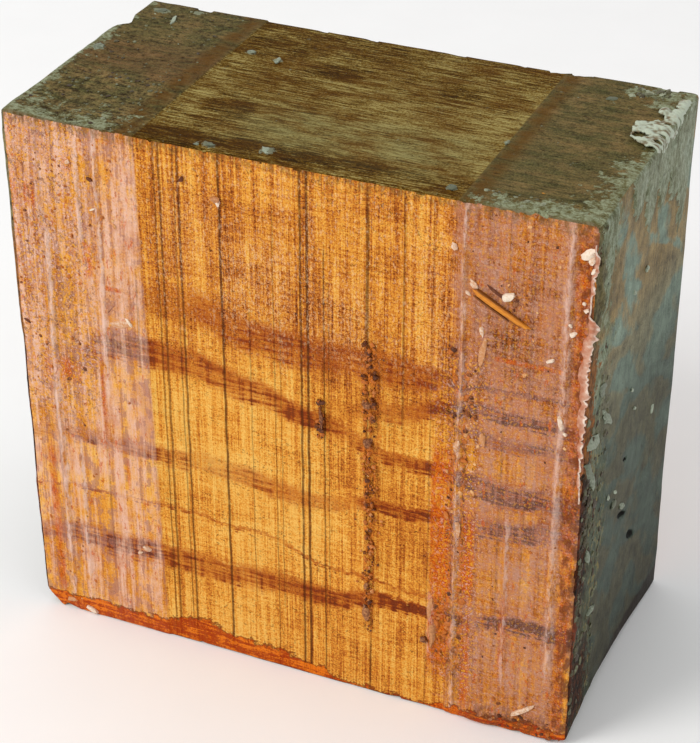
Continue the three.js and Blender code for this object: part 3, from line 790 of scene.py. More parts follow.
def torn_edge():
    """A ragged plate of wax on the front's right edge, whose teeth curl round the corner."""
    levels, reaches = zip(*TORN_EDGE)
    rows = round((levels[-1] - levels[0]) / TORN_STEP)
    bpy.ops.mesh.primitive_grid_add(x_subdivisions=12, y_subdivisions=rows, size=1, location=(0, 0, 0))
    plate = bpy.context.object
    share, along, _ = (places_of(plate) + 0.5).T
    z = levels[0] + along * (levels[-1] - levels[0])
    row = np.column_stack([0 * z, z, 0 * z])
    saw = TORN_SAW * (0.7 * cloud(row, 0.65, 21) + 0.4 * cloud(row, 1.7, 26))
    last = np.interp(z, levels, reaches) + saw
    first = -between(TORN_WIDTH, z) * (1 + 0.5 * cloud(row, 2.4, 27)) - 0.4
    s = first + share * np.maximum(last - first, 0.2)
    past = np.maximum(s, 0)
    flat = np.column_stack([s, z, 0 * z])
    rise = TORN_RISE * (0.25 + 0.8 * share) * (1 + 0.9 * cloud(flat, 1.2, 22)) + 0.12 * cloud(flat, 0.6, 23)
    rise = rise - 0.7 * (1 - step(share, 0, 0.3))
    x = HALF_WIDTH + np.minimum(s, 0) + 0.66 * past
    y = -HALF_DEPTH - 0.12 - rise + 0.7 * past
    set_places(plate, np.column_stack([x, y, z - 0.35 * past]))
    values = plate.data.attributes.new("tone", "FLOAT", "POINT")
    values.data.foreach_set("value", np.clip(0.1 + 0.75 * share**2 + 0.5 * cloud(flat, 0.8, 25), 0, 1))
    apply_modifier(plate, "SOLIDIFY", thickness=TORN_THICK, offset=0)
    return plate


class TURNING_BLANK_OT_flakes(bpy.types.Operator):
    """Adds the chips of wax on the faces, two dark slivers of painted shadow above the splinter, and the torn
    wax along the front edge of the right end
    """

    bl_idname = "turning_blank.flakes"
    bl_label = "Chips and torn wax"
    bl_options = {"REGISTER", "UNDO"}

    def execute(self, context):
        fresh = join(list(chips(FRESH_CHIPS, SEED + 5)))
        fresh.data.materials.append(crumb_paint("pale_chips_and_shadows", (96, 44, 16), (204, 140, 88), (246, 228, 206)))
        settle(fresh, "pale_chips_and_shadows", "wax")
        old = join(list(chips(OLD_CHIPS, SEED + 6)))
        old.data.materials.append(crumb_paint("sage_chips", (66, 50, 30), (98, 104, 82), (170, 180, 158)))
        settle(old, "sage_chips", "wax")
        ribbon = join([torn_edge()])
        paint = crumb_paint("torn_wax", (184, 116, 84), (204, 152, 126), (240, 218, 200))
        ribbon.data.materials.append(paint)
        settle(ribbon, "torn_wax", "wax")
        return {"FINISHED"}


# The curdled wax


def over_edge(s, y, out, radius):
    """Points over the top edge of the right end: s runs across the edge, out is the height over it."""
    quarter = radius * math.pi / 4
    bend = np.clip((s + quarter) / (2 * quarter), 0, 1) * math.pi / 2
    rest = np.maximum(0, np.abs(s) - quarter)
    reach = radius + out
    x = HALF_WIDTH - radius + reach * np.sin(bend) - np.where(s < 0, rest, 0)
    z = HEIGHT + top_lift(x, y) - radius + reach * np.cos(bend) - np.where(s > 0, rest, 0)
    return np.column_stack([x, y, z])


class TURNING_BLANK_OT_clot(bpy.types.Operator):
    """Adds the curdled lump of wax over the top corner"""

    bl_idname = "turning_blank.clot"
    bl_label = "Curdled wax"
    bl_options = {"REGISTER", "UNDO"}

    def execute(self, context):
        first, last = CLOT_REACH[0][0] - 1, CLOT_REACH[-1][0] + 1
        inner, outer = -11.0, 5.5
        bpy.ops.mesh.primitive_grid_add(
            x_subdivisions=round((outer - inner) / CLOT_STEP),
            y_subdivisions=round((last - first) / CLOT_STEP),
            size=1,
            location=(0, 0, 0),
        )
        clot = bpy.context.object
        flat = (places_of(clot) + 0.5) * (outer - inner, last - first, 0) + (inner, first, 0)
        s, y, _ = flat.T
        rows = np.array(CLOT_REACH)
        ragged = 0.6 * cloud(flat, 1.7, 1) + 0.6 * cloud(flat, 0.7, 2)
        inward = np.interp(y, rows[:, 0], rows[:, 1], left=-1, right=-1) + ragged
        down = np.interp(y, rows[:, 0], rows[:, 2], left=-1, right=-1) + 0.8 * ragged
        inside = np.minimum(s + inward, down - s)
        hole_s, hole_y, hole_radius = CLOT_HOLE
        inside = np.minimum(inside, np.hypot(s - hole_s, y - hole_y) - hole_radius - 0.3 * ragged)
        inside = np.minimum(inside, CLOT_LACE[0] - CLOT_LACE[1] * cloud(flat, 1.6, 9))
        blob_s, blob_y, half_s, half_y, blob_rise = CLOT_BLOB
        round_share = np.clip(1 - ((s - blob_s) / half_s) ** 2 - ((y - blob_y) / half_y) ** 2, -1, 1)
        inside = np.maximum(inside, round_share)

        curds = 0.5 * cloud(flat, 1.3, 3) + 0.5 * cloud(flat, 0.6, 4)
        rim = np.clip(inside / 0.7, 0, 1) ** 0.5
        out = (0.25 + CLOT_THICK * (0.75 + curds)) * rim + 0.1
        out = np.maximum(out, blob_rise * np.sqrt(np.clip(round_share, 0, 1)) + 0.1)
        set_places(clot, over_edge(s, y, np.maximum(out, 0.12) + 0.15, 1.2))
        values = clot.data.attributes.new("tone", "FLOAT", "POINT")
        values.data.foreach_set("value", np.clip(0.5 + 0.8 * curds + 0.4 * (rim - 1), 0, 1))

        select_all(clot, False)
        clot.data.vertices.foreach_set("select", inside < 0)
        edit(clot, bpy.ops.mesh.delete, type="VERT")
        apply_modifier(clot, "SOLIDIFY", thickness=0.5, offset=-1)
        apply_modifier(clot, "SUBSURF", levels=1, render_levels=1)
        lowest, highest = (np.array(corner) / MM - np.array(MIDDLE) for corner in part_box("wax_clot"))
        set_places(clot, np.minimum(places_of(clot), highest - BOX_GAP))
        only(clot)
        bpy.ops.object.shade_smooth()
        clot.data.materials.append(curd_paint(context.scene.blank_colours))
        settle(clot, "curdled_wax", "wax", "wax_clot")
        return {"FINISHED"}


# The splinter


def strand(draw, long, wide, thick):
    """A fibrous sliver that tapers to both ends, along its own x."""
    bpy.ops.mesh.primitive_cube_add(size=1, location=(0, 0, 0))
    obj = bpy.context.object
    for axis, length in enumerate((1 / 24, 1 / 5, 1 / 3)):
        cut_evenly(obj, axis, length)
    x, y, z = places_of(obj).T
    uneven = 1 + 0.1 * cloud(places_of(obj) * (6, 0, 0), 1, 3)
    taper = np.clip(1 - np.abs(2 * x) ** 6, 0.02, 1) * (0.9 - 0.35 * x) * uneven
    fibres = 0.12 * cloud(places_of(obj) * (2, 14, 14), 1, draw.randrange(900))
    bow = 0.05 * np.sin(3 * x + draw.uniform(0, 3))
    girth = taper + fibres
    set_places(obj, np.column_stack([x * long, (y * girth + bow) * wide, (z * girth + 0.5) * thick]))
    return obj


class TURNING_BLANK_OT_splinter(bpy.types.Operator):
    """Adds the splinter that is stuck in the wax of the front"""

    bl_idname = "turning_blank.splinter"
    bl_label = "Splinter"
    bl_options = {"REGISTER", "UNDO"}

    def execute(self, context):
        draw = random.Random(SEED + 4)
        x, z, long, wide, thick, slope, lift = SPLINTER
        parts = []
        for length, width, depth, start, side in (
            (0.94, 0.8, 1.0, 0.02, 0.12),
            (0.62, 0.26, 0.7, -0.1, -0.62),
            (0.34, 0.2, 1.1, -0.26, 0.5),
            (0.34, 0.16, 0.6, 0.3, -0.36),
            (0.24, 0.12, 0.5, 0.42, 0.3),
        ):
            part = strand(draw, long * length, wide * width, thick * depth)
            places = places_of(part) + (start * long, side * wide, 0)
            set_places(part, places)
            parts.append(part)
        whole = join(parts)
        turn = Euler((0, -math.radians(lift), 0)).to_matrix()
        turn = Euler((0, 0, math.radians(slope))).to_matrix() @ turn
        flat = places_of(whole) @ np.array(turn).T
        flat = flat + (0, 0, 0.15)
        places = np.array([FACES["front"](x + p[0], z + p[1], p[2]) for p in flat])
        lowest, highest = (np.array(corner) / MM - np.array(MIDDLE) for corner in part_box("splinter"))
        set_places(whole, np.maximum(places, lowest + BOX_GAP))
        select_all(whole)
        edit(whole, bpy.ops.mesh.normals_make_consistent, inside=False)
        whole.data.materials.append(splinter_paint())
        settle(whole, "loose_splinter", "splinter_wood", "splinter")
        return {"FINISHED"}


# Materials


class Value:
    """A number that a material works out over a surface: sums and products of it add Math nodes."""

    def __init__(self, paint, socket):
        self.paint = paint
        self.socket = socket

    def using(self, operation, *others):
        return self.paint.node("ShaderNodeMath", {"operation": operation}, dict(enumerate((self, *others))))

    def __add__(self, other):
        return self.using("ADD", other)

    def __sub__(self, other):
        return self.using("SUBTRACT", other)

    def __rsub__(self, other):
        return self.paint.node("ShaderNodeMath", {"operation": "SUBTRACT"}, {0: other, 1: self})

    def __mul__(self, other):
        return self.using("MULTIPLY", other)

    def __truediv__(self, other):
        return self.using("DIVIDE", other)

    def __pow__(self, other):
        return self.using("POWER", other)

    def __abs__(self):
        return self.using("ABSOLUTE")

    __radd__ = __add__
    __rmul__ = __mul__

    def most(self, other):
        return self.using("MAXIMUM", other)

    def least(self, other):
        return self.using("MINIMUM", other)

    def held(self):
        """Kept between 0 and 1."""
        return self.paint.node("ShaderNodeClamp", inputs={"Value": self})

    def step(self, low, high):
        """0 up to low, 1 from high on and a smooth change between them; low may be the larger."""
        return self.paint.node(
            "ShaderNodeMapRange",
            {"interpolation_type": "SMOOTHSTEP", "clamp": False},
            {"Value": self, "From Min": low, "From Max": high},
        )

    def near(self, middle, half, soft=0.5):
        """1 close to a value and 0 from half away."""
        return abs(self - middle).step(half, half * (1 - soft))

    def inside(self, low, high, soft):
        """1 between two values and 0 outside them."""
        return self.step(low - soft, low + soft) * self.step(high + soft, high - soft)


class Paint:
    """A material as it is mixed: places in millimetres over the block, and nodes made from them."""

    def __init__(self, name):
        self.material = bpy.data.materials.new(name)
        self.material.use_nodes = True
        self.tree = self.material.node_tree
        self.tree.nodes.clear()
        self.shook = None
        place = self.node("ShaderNodeTexCoord", out="Object")
        self.place = self.node(
            "ShaderNodeVectorMath",
            {"operation": "MULTIPLY_ADD"},
            {0: place, 1: (1 / MM,) * 3, 2: -MIDDLE},
        )
        parts = self.node("ShaderNodeSeparateXYZ", inputs={"Vector": self.place})
        self.x, self.y, self.z = (Value(self, parts.socket.node.outputs[i]) for i in range(3))

    def node(self, kind, settings=None, inputs=None, out=0):
        """A node of a type: its settings first, then the values or links of its sockets."""
        made = self.tree.nodes.new(kind)
        for name, value in (settings or {}).items():
            if name == "points":
                curve = made.mapping.curves[0]
                for point in value[2:]:
                    curve.points.new(*point)
                for point, place in zip(curve.points, sorted(value)):
                    point.location = place
                made.mapping.update()
            elif name == "stops":
                while len(made.color_ramp.elements) < len(value):
                    made.color_ramp.elements.new(1.0)
                for element, (place, colour) in zip(made.color_ramp.elements, value):
                    element.position = place
                    element.color = tuple(colour)
            else:
                setattr(made, name, value)
        for name, value in (inputs or {}).items():
            if isinstance(value, Value):
                self.tree.links.new(value.socket, made.inputs[name])
            else:
                made.inputs[name].default_value = value if isinstance(value, (int, float)) else tuple(value)
        return Value(self, made.outputs[out])

    def mix(self, amount, first, second, blend="MIX"):
        """One colour laid over another."""
        settings = {"data_type": "RGBA", "blend_type": blend, "clamp_factor": True}
        return self.node("ShaderNodeMix", settings, {0: amount, 6: first, 7: second}, out=2)

    def ramp(self, value, *stops):
        """A colour for each height of a value, mixed between stops of a height and a colour."""
        return self.node("ShaderNodeValToRGB", {"stops": stops}, {"Fac": value})

    def stretched(self, sizes, shift=0.0, place=None):
        """The place on the surface, counted in lumps of one size along each axis."""
        return self.node(
            "ShaderNodeVectorMath",
            {"operation": "MULTIPLY_ADD"},
            {0: place or self.place, 1: tuple(1 / s for s in sizes), 2: (shift, shift * 0.7, shift * 1.3)},
        )

    def shaken(self):
        """The place on the surface, shaken by a fraction of a millimetre so that spots are ragged."""
        if self.shook is None:
            inputs = {"Vector": self.stretched((0.9,) * 3), "Detail": 2.0, "Scale": 1.0}
            noise = self.node("ShaderNodeTexNoise", inputs=inputs, out=1)
            self.shook = self.node(
                "ShaderNodeVectorMath",
                {"operation": "MULTIPLY_ADD"},
                {0: noise, 1: (1.6,) * 3, 2: self.place},
            )
        return self.shook

    def cloud(self, sizes, shift=0.0, detail=2.0, rough=0.5, warp=0.0, place=None):
        """Unevenness from about -1 to 1."""
        inputs = {
            "Vector": self.stretched(sizes, shift, place),
            "Scale": 1.0,
            "Detail": detail,
            "Roughness": rough,
            "Distortion": warp,
        }
        return self.node("ShaderNodeTexNoise", {"noise_dimensions": "3D"}, inputs) * 4 - 2

    def spots(self, sizes, shift, least, most):
        """1 in scattered spots, whose radius is drawn between two shares of their spacing."""
        inputs = {"Vector": self.stretched(sizes, shift, self.shaken()), "Scale": 1.0, "Randomness": 1.0}
        near = self.node("ShaderNodeTexVoronoi", {"feature": "F1"}, inputs)
        chance = Value(self, near.socket.node.outputs["Color"])
        chance = self.node("ShaderNodeSeparateColor", inputs={0: chance})
        radius = chance**4 * (most - least) + least
        return (radius - near).step(0.0, 0.08)

    def profile(self, along, points):
        """A value drawn as a smooth line through points: a place along and the value there."""
        firsts, seconds = zip(*points)
        start, reach = firsts[0], firsts[-1] - firsts[0]
        low, spread = min(seconds), max(max(seconds) - min(seconds), 1e-6)
        drawn = [((a - start) / reach, (b - low) / spread) for a, b in points]
        share = (along - start) / reach
        return self.node("ShaderNodeFloatCurve", {"points": drawn}, {"Value": share}) * spread + low

    def finish(self, colour, roughness, height, bump=0.5, depth=0.3, specular=0.3, coat=0.0):
        """The shader, with a bump from a height in millimetres."""
        shaped = self.node(
            "ShaderNodeBump",
            inputs={"Strength": bump, "Distance": depth * MM, "Height": height},
        )
        inputs = {
            "Base Color": colour,
            "Roughness": roughness,
            "Specular IOR Level": specular,
            "Coat Weight": coat,
            "Coat Roughness": 0.25,
            "Normal": shaped,
        }
        shader = self.node("ShaderNodeBsdfPrincipled", inputs=inputs)
        self.node_output(shader)
        return self.material

    def node_output(self, shader):
        output = self.tree.nodes.new("ShaderNodeOutputMaterial")
        self.tree.links.new(shader.socket, output.inputs["Surface"])


# The fresh front and back. A figure streak: heights along x, half its thickness along x, strength along x.
# A saw line: x, half width, from, to, strength.
FRONT_LOOK = {
    "figure": (
        (
            (
                (-76, 80), (-60, 84), (-50, 89.5), (-38, 90.5), (-20, 87.5), (0, 83), (15, 79), (22, 76),
                (38, 75.5), (55, 73.5), (76, 73),
            ),
            ((-76, 3), (-38, 4.6), (0, 3.4), (20, 2.4), (38, 2.2), (55, 3.6), (76, 3)),
            (
                (-76, 0.1), (-56, 0.6), (-44, 0.95), (-38, 0.7), (-30, 0.55), (0, 0.62), (20, 0.6),
                (38, 0.85), (60, 0.8), (76, 0.9),
            ),
        ),
        (
            ((-76, 84), (8, 84), (20, 88), (30, 90), (40, 93.5), (50, 95), (76, 95)),
            ((-76, 2), (10, 2), (30, 3), (40, 2.4), (76, 1.8)),
            ((-76, 0), (6, 0), (20, 0.35), (34, 0.5), (44, 0.85), (76, 0.8)),
        ),
        (
            ((-76, 88), (40, 88), (76, 88)),
            ((-76, 2), (40, 2), (76, 2)),
            ((-76, 0), (42, 0), (50, 0.55), (64, 0.65), (76, 0.5)),
        ),
        (
            ((-76, 104), (-44, 106), (-30, 107), (-15, 102), (10, 101), (38, 101), (60, 102.5), (76, 103)),
            ((-76, 3), (-34, 5), (0, 5.4), (36, 4.6), (44, 1.2), (76, 0.9)),
            ((-76, 0), (-46, 0.15), (-30, 0.3), (-15, 0.5), (34, 0.55), (46, 0.7), (76, 0.5)),
        ),
        (
            (
                (-76, 57), (-60, 59.5), (-38, 60), (-20, 60), (0, 57.5), (20, 59.5), (38, 61.2),
                (50, 62.5), (60, 63), (76, 65),
            ),
            ((-76, 2), (-40, 2.8), (-10, 3.2), (10, 2.2), (36, 1.9), (50, 3), (76, 3.4)),
            (
                (-76, 0.3), (-50, 0.55), (-38, 0.6), (-24, 0.3), (-8, 0.45), (8, 0.35), (24, 0.8),
                (40, 0.95), (60, 0.7), (76, 0.75),
            ),
        ),
        (
            (
                (-76, 26), (-50, 27.2), (-38, 27), (-10, 27.4), (10, 28), (18, 29.3), (25, 30.8),
                (38, 31.4), (50, 33), (60, 34), (76, 36),
            ),
            ((-76, 3), (-40, 3.9), (0, 3.5), (16, 2.8), (36, 2.1), (60, 2.5), (76, 2.6)),
            (
                (-76, 0.3), (-60, 0.75), (-44, 0.85), (-36, 0.62), (0, 0.58), (20, 0.75), (30, 1.0),
                (46, 0.9), (60, 1.1), (76, 1.2),
            ),
        ),
        (
            ((-76, 41), (-40, 43.6), (-20, 43), (0, 40), (15, 37), (38, 36), (76, 36)),
            ((-76, 0.6), (38, 0.6), (76, 0.4)),
            ((-76, 0.6), (-50, 0.5), (-10, 0.55), (38, 0.45), (44, 0), (76, 0)),
        ),
    ),
    "saw": (
        (-35.6, 0.22, 0, 150, 0.7),
        (-34.2, 0.3, 0, 150, 0.8),
        (-30.3, 0.2, 8, 150, 0.6),
        (-29.1, 0.28, 0, 150, 0.9),
        (-18.3, 0.32, 0, 148, 1.0),
        (-11.0, 0.16, 20, 110, 0.5),
        (-4.4, 0.16, 0, 140, 0.55),
        (-2.8, 0.16, 20, 110, 0.5),
        (2.9, 0.3, 0, 150, 0.95),
        (4.7, 0.34, 0, 150, 1.0),
        (9.0, 0.2, 0, 130, 0.8),
        (10.2, 0.16, 20, 120, 0.5),
        (20.3, 0.42, 60, 148, 0.9),
        (21.7, 0.26, 0, 18, 0.9),
        (29.7, 0.3, 85, 150, 0.6),
        (37.0, 0.16, 0, 150, 0.4),
        (49.0, 0.3, 84, 112, 0.6),
        (55.6, 0.24, 20, 150, 0.5),
        (61.8, 0.2, 10, 140, 0.4),
        (66.5, 0.16, 40, 150, 0.3),
        (-53.4, 0.3, 20, 82, 0.5),
        (-41.9, 0.26, 86, 112, 0.8),
        (-63.4, 0.2, 50, 150, 0.3),
    ),
    "ridges": FRONT_RIDGES,
    "shift": 0.0,
}
BACK_LOOK = {
    "figure": (
        (
            ((-76, 118), (-40, 112), (-10, 108), (20, 110), (50, 104), (76, 102)),
            ((-76, 3), (-30, 4), (10, 3), (76, 3)),
            ((-76, 0.5), (-40, 0.8), (0, 0.7), (40, 0.9), (76, 0.7)),
        ),
        (
            ((-76, 84), (-30, 80), (10, 84), (46, 79), (76, 77)),
            ((-76, 2), (0, 3), (76, 2.4)),
            ((-76, 0.5), (-20, 0.6), (30, 0.9), (76, 0.8)),
        ),
        (
            ((-76, 49), (-30, 44), (0, 46), (40, 41), (76, 40)),
            ((-76, 4), (-20, 3.4), (30, 2.4), (76, 3)),
            ((-76, 0.7), (0, 0.6), (30, 1.0), (76, 0.9)),
        ),
        (
            ((-76, 24), (-30, 22), (10, 18), (40, 16), (76, 15)),
            ((-76, 0.6), (0, 0.6), (76, 0.6)),
            ((-76, 0.6), (0, 0.5), (76, 0.6)),
        ),
    ),
    "saw": (
        (-36.2, 0.2, 0, 150, 0.6),
        (-31.0, 0.3, 0, 150, 0.9),
        (-24.5, 0.16, 30, 150, 0.5),
        (-15.2, 0.3, 0, 120, 0.9),
        (-13.6, 0.2, 0, 150, 0.7),
        (-5.0, 0.16, 0, 90, 0.5),
        (6.4, 0.3, 0, 150, 0.9),
        (14.0, 0.2, 20, 150, 0.6),
        (24.6, 0.3, 0, 110, 0.8),
        (26.0, 0.2, 0, 150, 0.6),
        (36.0, 0.2, 10, 150, 0.5),
    ),
    "ridges": BACK_RIDGES,
    "shift": 37.0,
}

# Where the film of the fresh faces is so thin that the wood shows orange: x from, to, z from, to, strength
THIN_WAX = (
    (-71.8, -69.6, 6, 54, 0.75),
    (-54.0, -52.8, 62, 84, 0.9),
    (-48.0, -46.9, 47, 55, 0.6),
    (-70.5, -60.0, 76, 82, 0.6),
    (37.6, 43.6, 14, 82, 1.0),
    (46.2, 49.4, 38, 66, 1.0),
    (46.6, 49.0, 4, 34, 0.8),
    (71.8, 74.8, 2, 148, 0.6),
    (53.0, 69.6, 110.2, 111.4, 1.0),
    (71.4, 74.8, 130.5, 137.5, 0.9),
    (71.8, 74.8, 116.5, 124.5, 0.9),
    (-72.4, -69.4, 126.0, 131.6, 0.9),
    (-76.0, -74.6, 125.0, 133.0, 0.8),
    (-65.6, -62.2, 76.8, 82.6, 1.0),
    (-56.8, -54.2, 109.0, 116.6, 0.9),
    (-51.2, -46.4, 105.8, 107.0, 0.9),
    (-61.0, -58.2, 137.0, 141.0, 0.6),
    (56.5, 58.5, 16, 40, 0.5),
)
# Worn, whitish streaks of the bare wood: x from and to, z from and to, strength
WORN = (
    (-18, 0, 106, 128, 0.8),
    (8, 20, 102, 120, 0.7),
    (-3.0, -1.2, 94, 148, 1.0),
    (4.6, 6.2, 104, 140, 0.9),
    (-34, -20, 116, 136, 0.4),
    (32, 41, 104, 142, 0.4),
)
# How light the wood is up the face: z, level
LEVELS = ((0, 0.66), (22, 0.69), (52, 0.73), (76, 0.7), (97, 0.6), (115, 0.53), (140, 0.54), (150, 0.48))
# Changes of tone across the upper part and the middle: x, change
TOP_TONES = (
    (-76, 0), (-24, 0), (-16, -0.07), (-2, -0.07), (9, -0.02), (28, 0.02), (34, 0.08), (44, 0.02), (76, 0),
)
MIDDLE_TONES = ((-76, 0), (-36, 0.05), (-20, 0.06), (-6, 0.02), (76, 0))
# The height of the wet rim along the foot: x, height
FOOT_RIM = (
    (-76, 3.6), (-60, 5.4), (-40, 5.2), (-30, 8), (-20, 6.4), (0, 4.6),
    (8, 3), (14, 1.2), (36, 0.9), (46, 3.0), (76, 4),
)
# Sharp steps of tone between saw cuts: x, change of tone to its right
TONE_STEPS = ((-29, 0.06), (-18.3, -0.02), (3, -0.02), (10, -0.01), (20, -0.02))


def fresh_face(name, colours, look):
    """A sawn face: orange wood with dark figure and saw lines, waxed at both ends."""
    p = Paint(name)
    x, z = p.x, p.z
    shift = look["shift"]

    # Grain
    grit = p.cloud((0.42, 0.42, 0.38), shift, 2, 0.7)
    dashes = p.cloud((0.8, 1.2, 0.34), shift + 3, 2, 0.6, 0.7)
    fibres = p.cloud((9, 9, 0.9), shift + 5, 3, 0.6, 0.3)
    sawn = p.cloud((0.5, 50, 22), shift + 7, 3, 0.6)
    cuts = p.cloud((1.7, 50, 90), shift + 13, 2, 0.6)
    broad = p.cloud((30, 60, 16), shift + 9, 3, 0.55)

    # Tones of the wood, with painted shade towards the right
    left = (x + z * (FILM_LEAN / HEIGHT) - FILM_LEAN + 0.1 * sawn).step(FILM_LEFT + 0.35, FILM_LEFT - 0.35)
    right = (x + 1.2 * p.cloud((40, 40, 2.4), shift + 19, 3)).step(FILM_RIGHT - 1.6, FILM_RIGHT + 1)
    film = left.most(right)
    grain = (0.27 * grit + 0.15 * dashes + 0.14 * fibres + 0.27 * sawn) * (1 - 0.5 * film)
    level = p.profile(z, LEVELS)
    # Darker towards the right below the upper part: partly the wood's tone, partly painted shade of the light
    # that falls from the left
    across = p.profile(x, ((-76, 0), (0, 0), (12, -0.05), (30, -0.05), (44, -0.12), (76, -0.18)))
    light = level + across * z.step(124, 82) - 0.12 * right * z.step(70, 118) + 0.18 * cuts + 0.17 * broad
    light = light + z.step(96, 112) * p.profile(x, TOP_TONES)
    light = light + z.inside(56, 98, 6) * p.profile(x, MIDDLE_TONES)
    for at, change in TONE_STEPS:
        light = light + (x + 0.1 * sawn).step(at - 0.2, at + 0.2) * change
    tones = (
        (0.0, colours.bark),
        (0.22, colours.russet),
        (0.45, colours.rust),
        (0.7, colours.amber),
        (1.0, colours.straw),
    )
    wood = p.ramp(light + grain, *tones)

    # Figure
    drift = 1.3 * p.cloud((14, 60, 60), shift + 11, 3) + 0.8 * cuts
    ragged = z + drift + 1.2 * fibres + 0.4 * grit
    dark = None
    for heights, halves, strengths in look["figure"]:
        away = abs(ragged - p.profile(x, heights)) / p.profile(x, halves)
        streak = away.step(1.3, 0.5) * p.profile(x, strengths)
        dark = streak if dark is None else dark.most(streak)
    dark = (dark * (0.94 + 0.6 * cuts + 0.9 * fibres + 0.4 * sawn + 0.25 * grit)).held()
    wood = p.mix((dark * 1.2).held(), wood, colours.figure, "MULTIPLY")
    wood = p.mix((dark - 0.5) * 1.3, wood, colours.ebony)

    # Pores and specks
    patches = p.cloud((7, 9, 6), shift + 17, 2).step(-0.9, 0.9)
    pores = p.cloud((0.8, 0.9, 0.55), shift + 31, 2, 0.6).step(0.4, 0.62) * patches
    wood = p.mix(pores * 0.55, wood, colours.saw)
    specks = p.spots((5.0, 5, 4.2), shift + 2, 0.0, 0.14)
    wood = p.mix(specks * 0.85, wood, paint_of(74, 34, 10))

    # Saw lines
    wobble = x + 0.13 * p.cloud((300, 300, 7), shift + 15, 3) + 0.1 * grit
    broken = (1.0 + 0.5 * p.cloud((300, 300, 3.4), shift + 33, 3, 0.7)).held()
    lines = None
    for middle, half, low, high, strength in look["saw"]:
        line = abs(wobble - middle).step(half * 1.5, half * 0.4) * strength
        if low > 0 or high < 145:
            line = line * z.inside(low, high, 4)
        lines = line if lines is None else lines.most(line)
    lines = lines * broken
    wood = p.mix(lines * 0.85, wood, colours.saw)

    # Worn streaks
    worn = None
    for low, high, foot, head, strength in WORN:
        place = x.inside(low, high, min(2.5, (high - low) / 3)) * z.inside(foot, head, 6) * strength
        worn = place if worn is None else worn.most(place)
    flecked = (p.cloud((0.5, 3, 1.6), shift + 35, 3, 0.7) + 0.6 * grit).step(-0.1, 1.0)
    wood = p.mix(worn * flecked * 0.62, wood, paint_of(244, 206, 164))

    whitish = p.cloud((0.7, 3, 1.3), shift + 47, 3, 0.75).step(0.22, 0.5) * z.step(84, 112)
    wood = p.mix(whitish * 0.34, wood, paint_of(250, 210, 166))

    # The wax at both ends
    milk = p.cloud((1.5, 30, 34), shift + 21, 3, 0.65)
    murk = p.cloud((2.2, 3, 3), shift + 23, 3, 0.65)
    hazes = p.cloud((9, 12, 13), shift + 45, 3, 0.6)
    cover = 0.5 + (0.45 + 0.4 * left) * milk + 0.45 * murk + 0.5 * hazes + 0.2 * grit + 0.35 * right * fibres
    wood = p.mix(left * (cover - 0.25 * z.step(90, 30)).held(), wood, colours.left_wax)
    wood = p.mix(right * (cover - 0.04).held(), wood, colours.right_wax)
    wood = p.mix((hazes - 0.3 * milk).step(0.12, 0.55) * film * 0.4, wood, paint_of(196, 112, 56))
    # Painted shade: purple-grey between the milky streaks of the left film
    wood = p.mix((murk - milk).step(0.15, 0.5) * left * 0.6, wood, paint_of(172, 116, 100))
    veiled = p.mix(dark.step(0.5, 0.95), paint_of(156, 110, 100), paint_of(92, 60, 54))
    wood = p.mix((right * 0.75 + left * 0.4) * dark, wood, veiled)

    # Orange where the film is thin
    torn = p.cloud((1.1, 3, 3), shift + 25, 4, 0.7)
    thin = None
    for low, high, foot, head, strength in THIN_WAX:
        place = x.inside(low, high, 0.5) * z.inside(foot, head, min(5, (head - foot) / 4)) * strength
        thin = place if thin is None else thin.most(place)
    thin = (thin * (0.8 + 1.0 * torn)).held().most(film * (torn + 0.3 * milk).step(0.42, 0.7) * 0.75)
    orange = p.mix((0.5 + 0.9 * grit).held(), paint_of(172, 58, 0), paint_of(232, 112, 8))
    wood = p.mix(thin * 0.9, wood, orange)

    # Granular crust
    crust = left * x.step(-50, -60) * z.step(52, 72) + 0.3 * left * z.step(60, 90)
    crust = (crust + 0.45 * right + 0.6 * x.inside(38, 50, 3) * z.inside(8, 110, 8)).held()
    grains = p.cloud((0.95, 3, 0.9), shift + 37, 3, 0.7)
    wood = p.mix(grains.step(-0.2, -0.5) * crust * 0.55, wood, colours.ridge_wax)
    dirt = p.cloud((1.1, 3, 1.6), shift + 39, 4, 0.75).step(0.2, 0.36)
    wood = p.mix(dirt * crust * 0.6, wood, paint_of(122, 70, 46))
    wood = p.mix(grains.step(0.22, 0.36) * crust * 0.85, wood, colours.ochre)

    # Ridges of wax, with painted shadow beside them and dirt caught along them
    beads = None
    sway = x - RIDGE_WANDER * 0.9 * p.cloud((300, 300, 24), shift + 27, 1) + 0.7 * torn
    for middle, low, high, wide, rise in look["ridges"]:
        if rise <= CRUST_RISE:
            continue
        bead = abs(sway - middle).step(wide * 0.8, 0.1) * (0.5 + rise * 0.5)
        if low > 0 or high < HEIGHT:
            bead = bead * z.inside(low, high, 4)
        beads = bead if beads is None else beads.most(bead)
    patchy = (0.6 + 1.7 * p.cloud((1.4, 3, 5), shift + 29, 4, 0.7)).held()
    wood = p.mix(beads * patchy * (0.62 + 0.25 * left), wood, colours.ridge_wax)
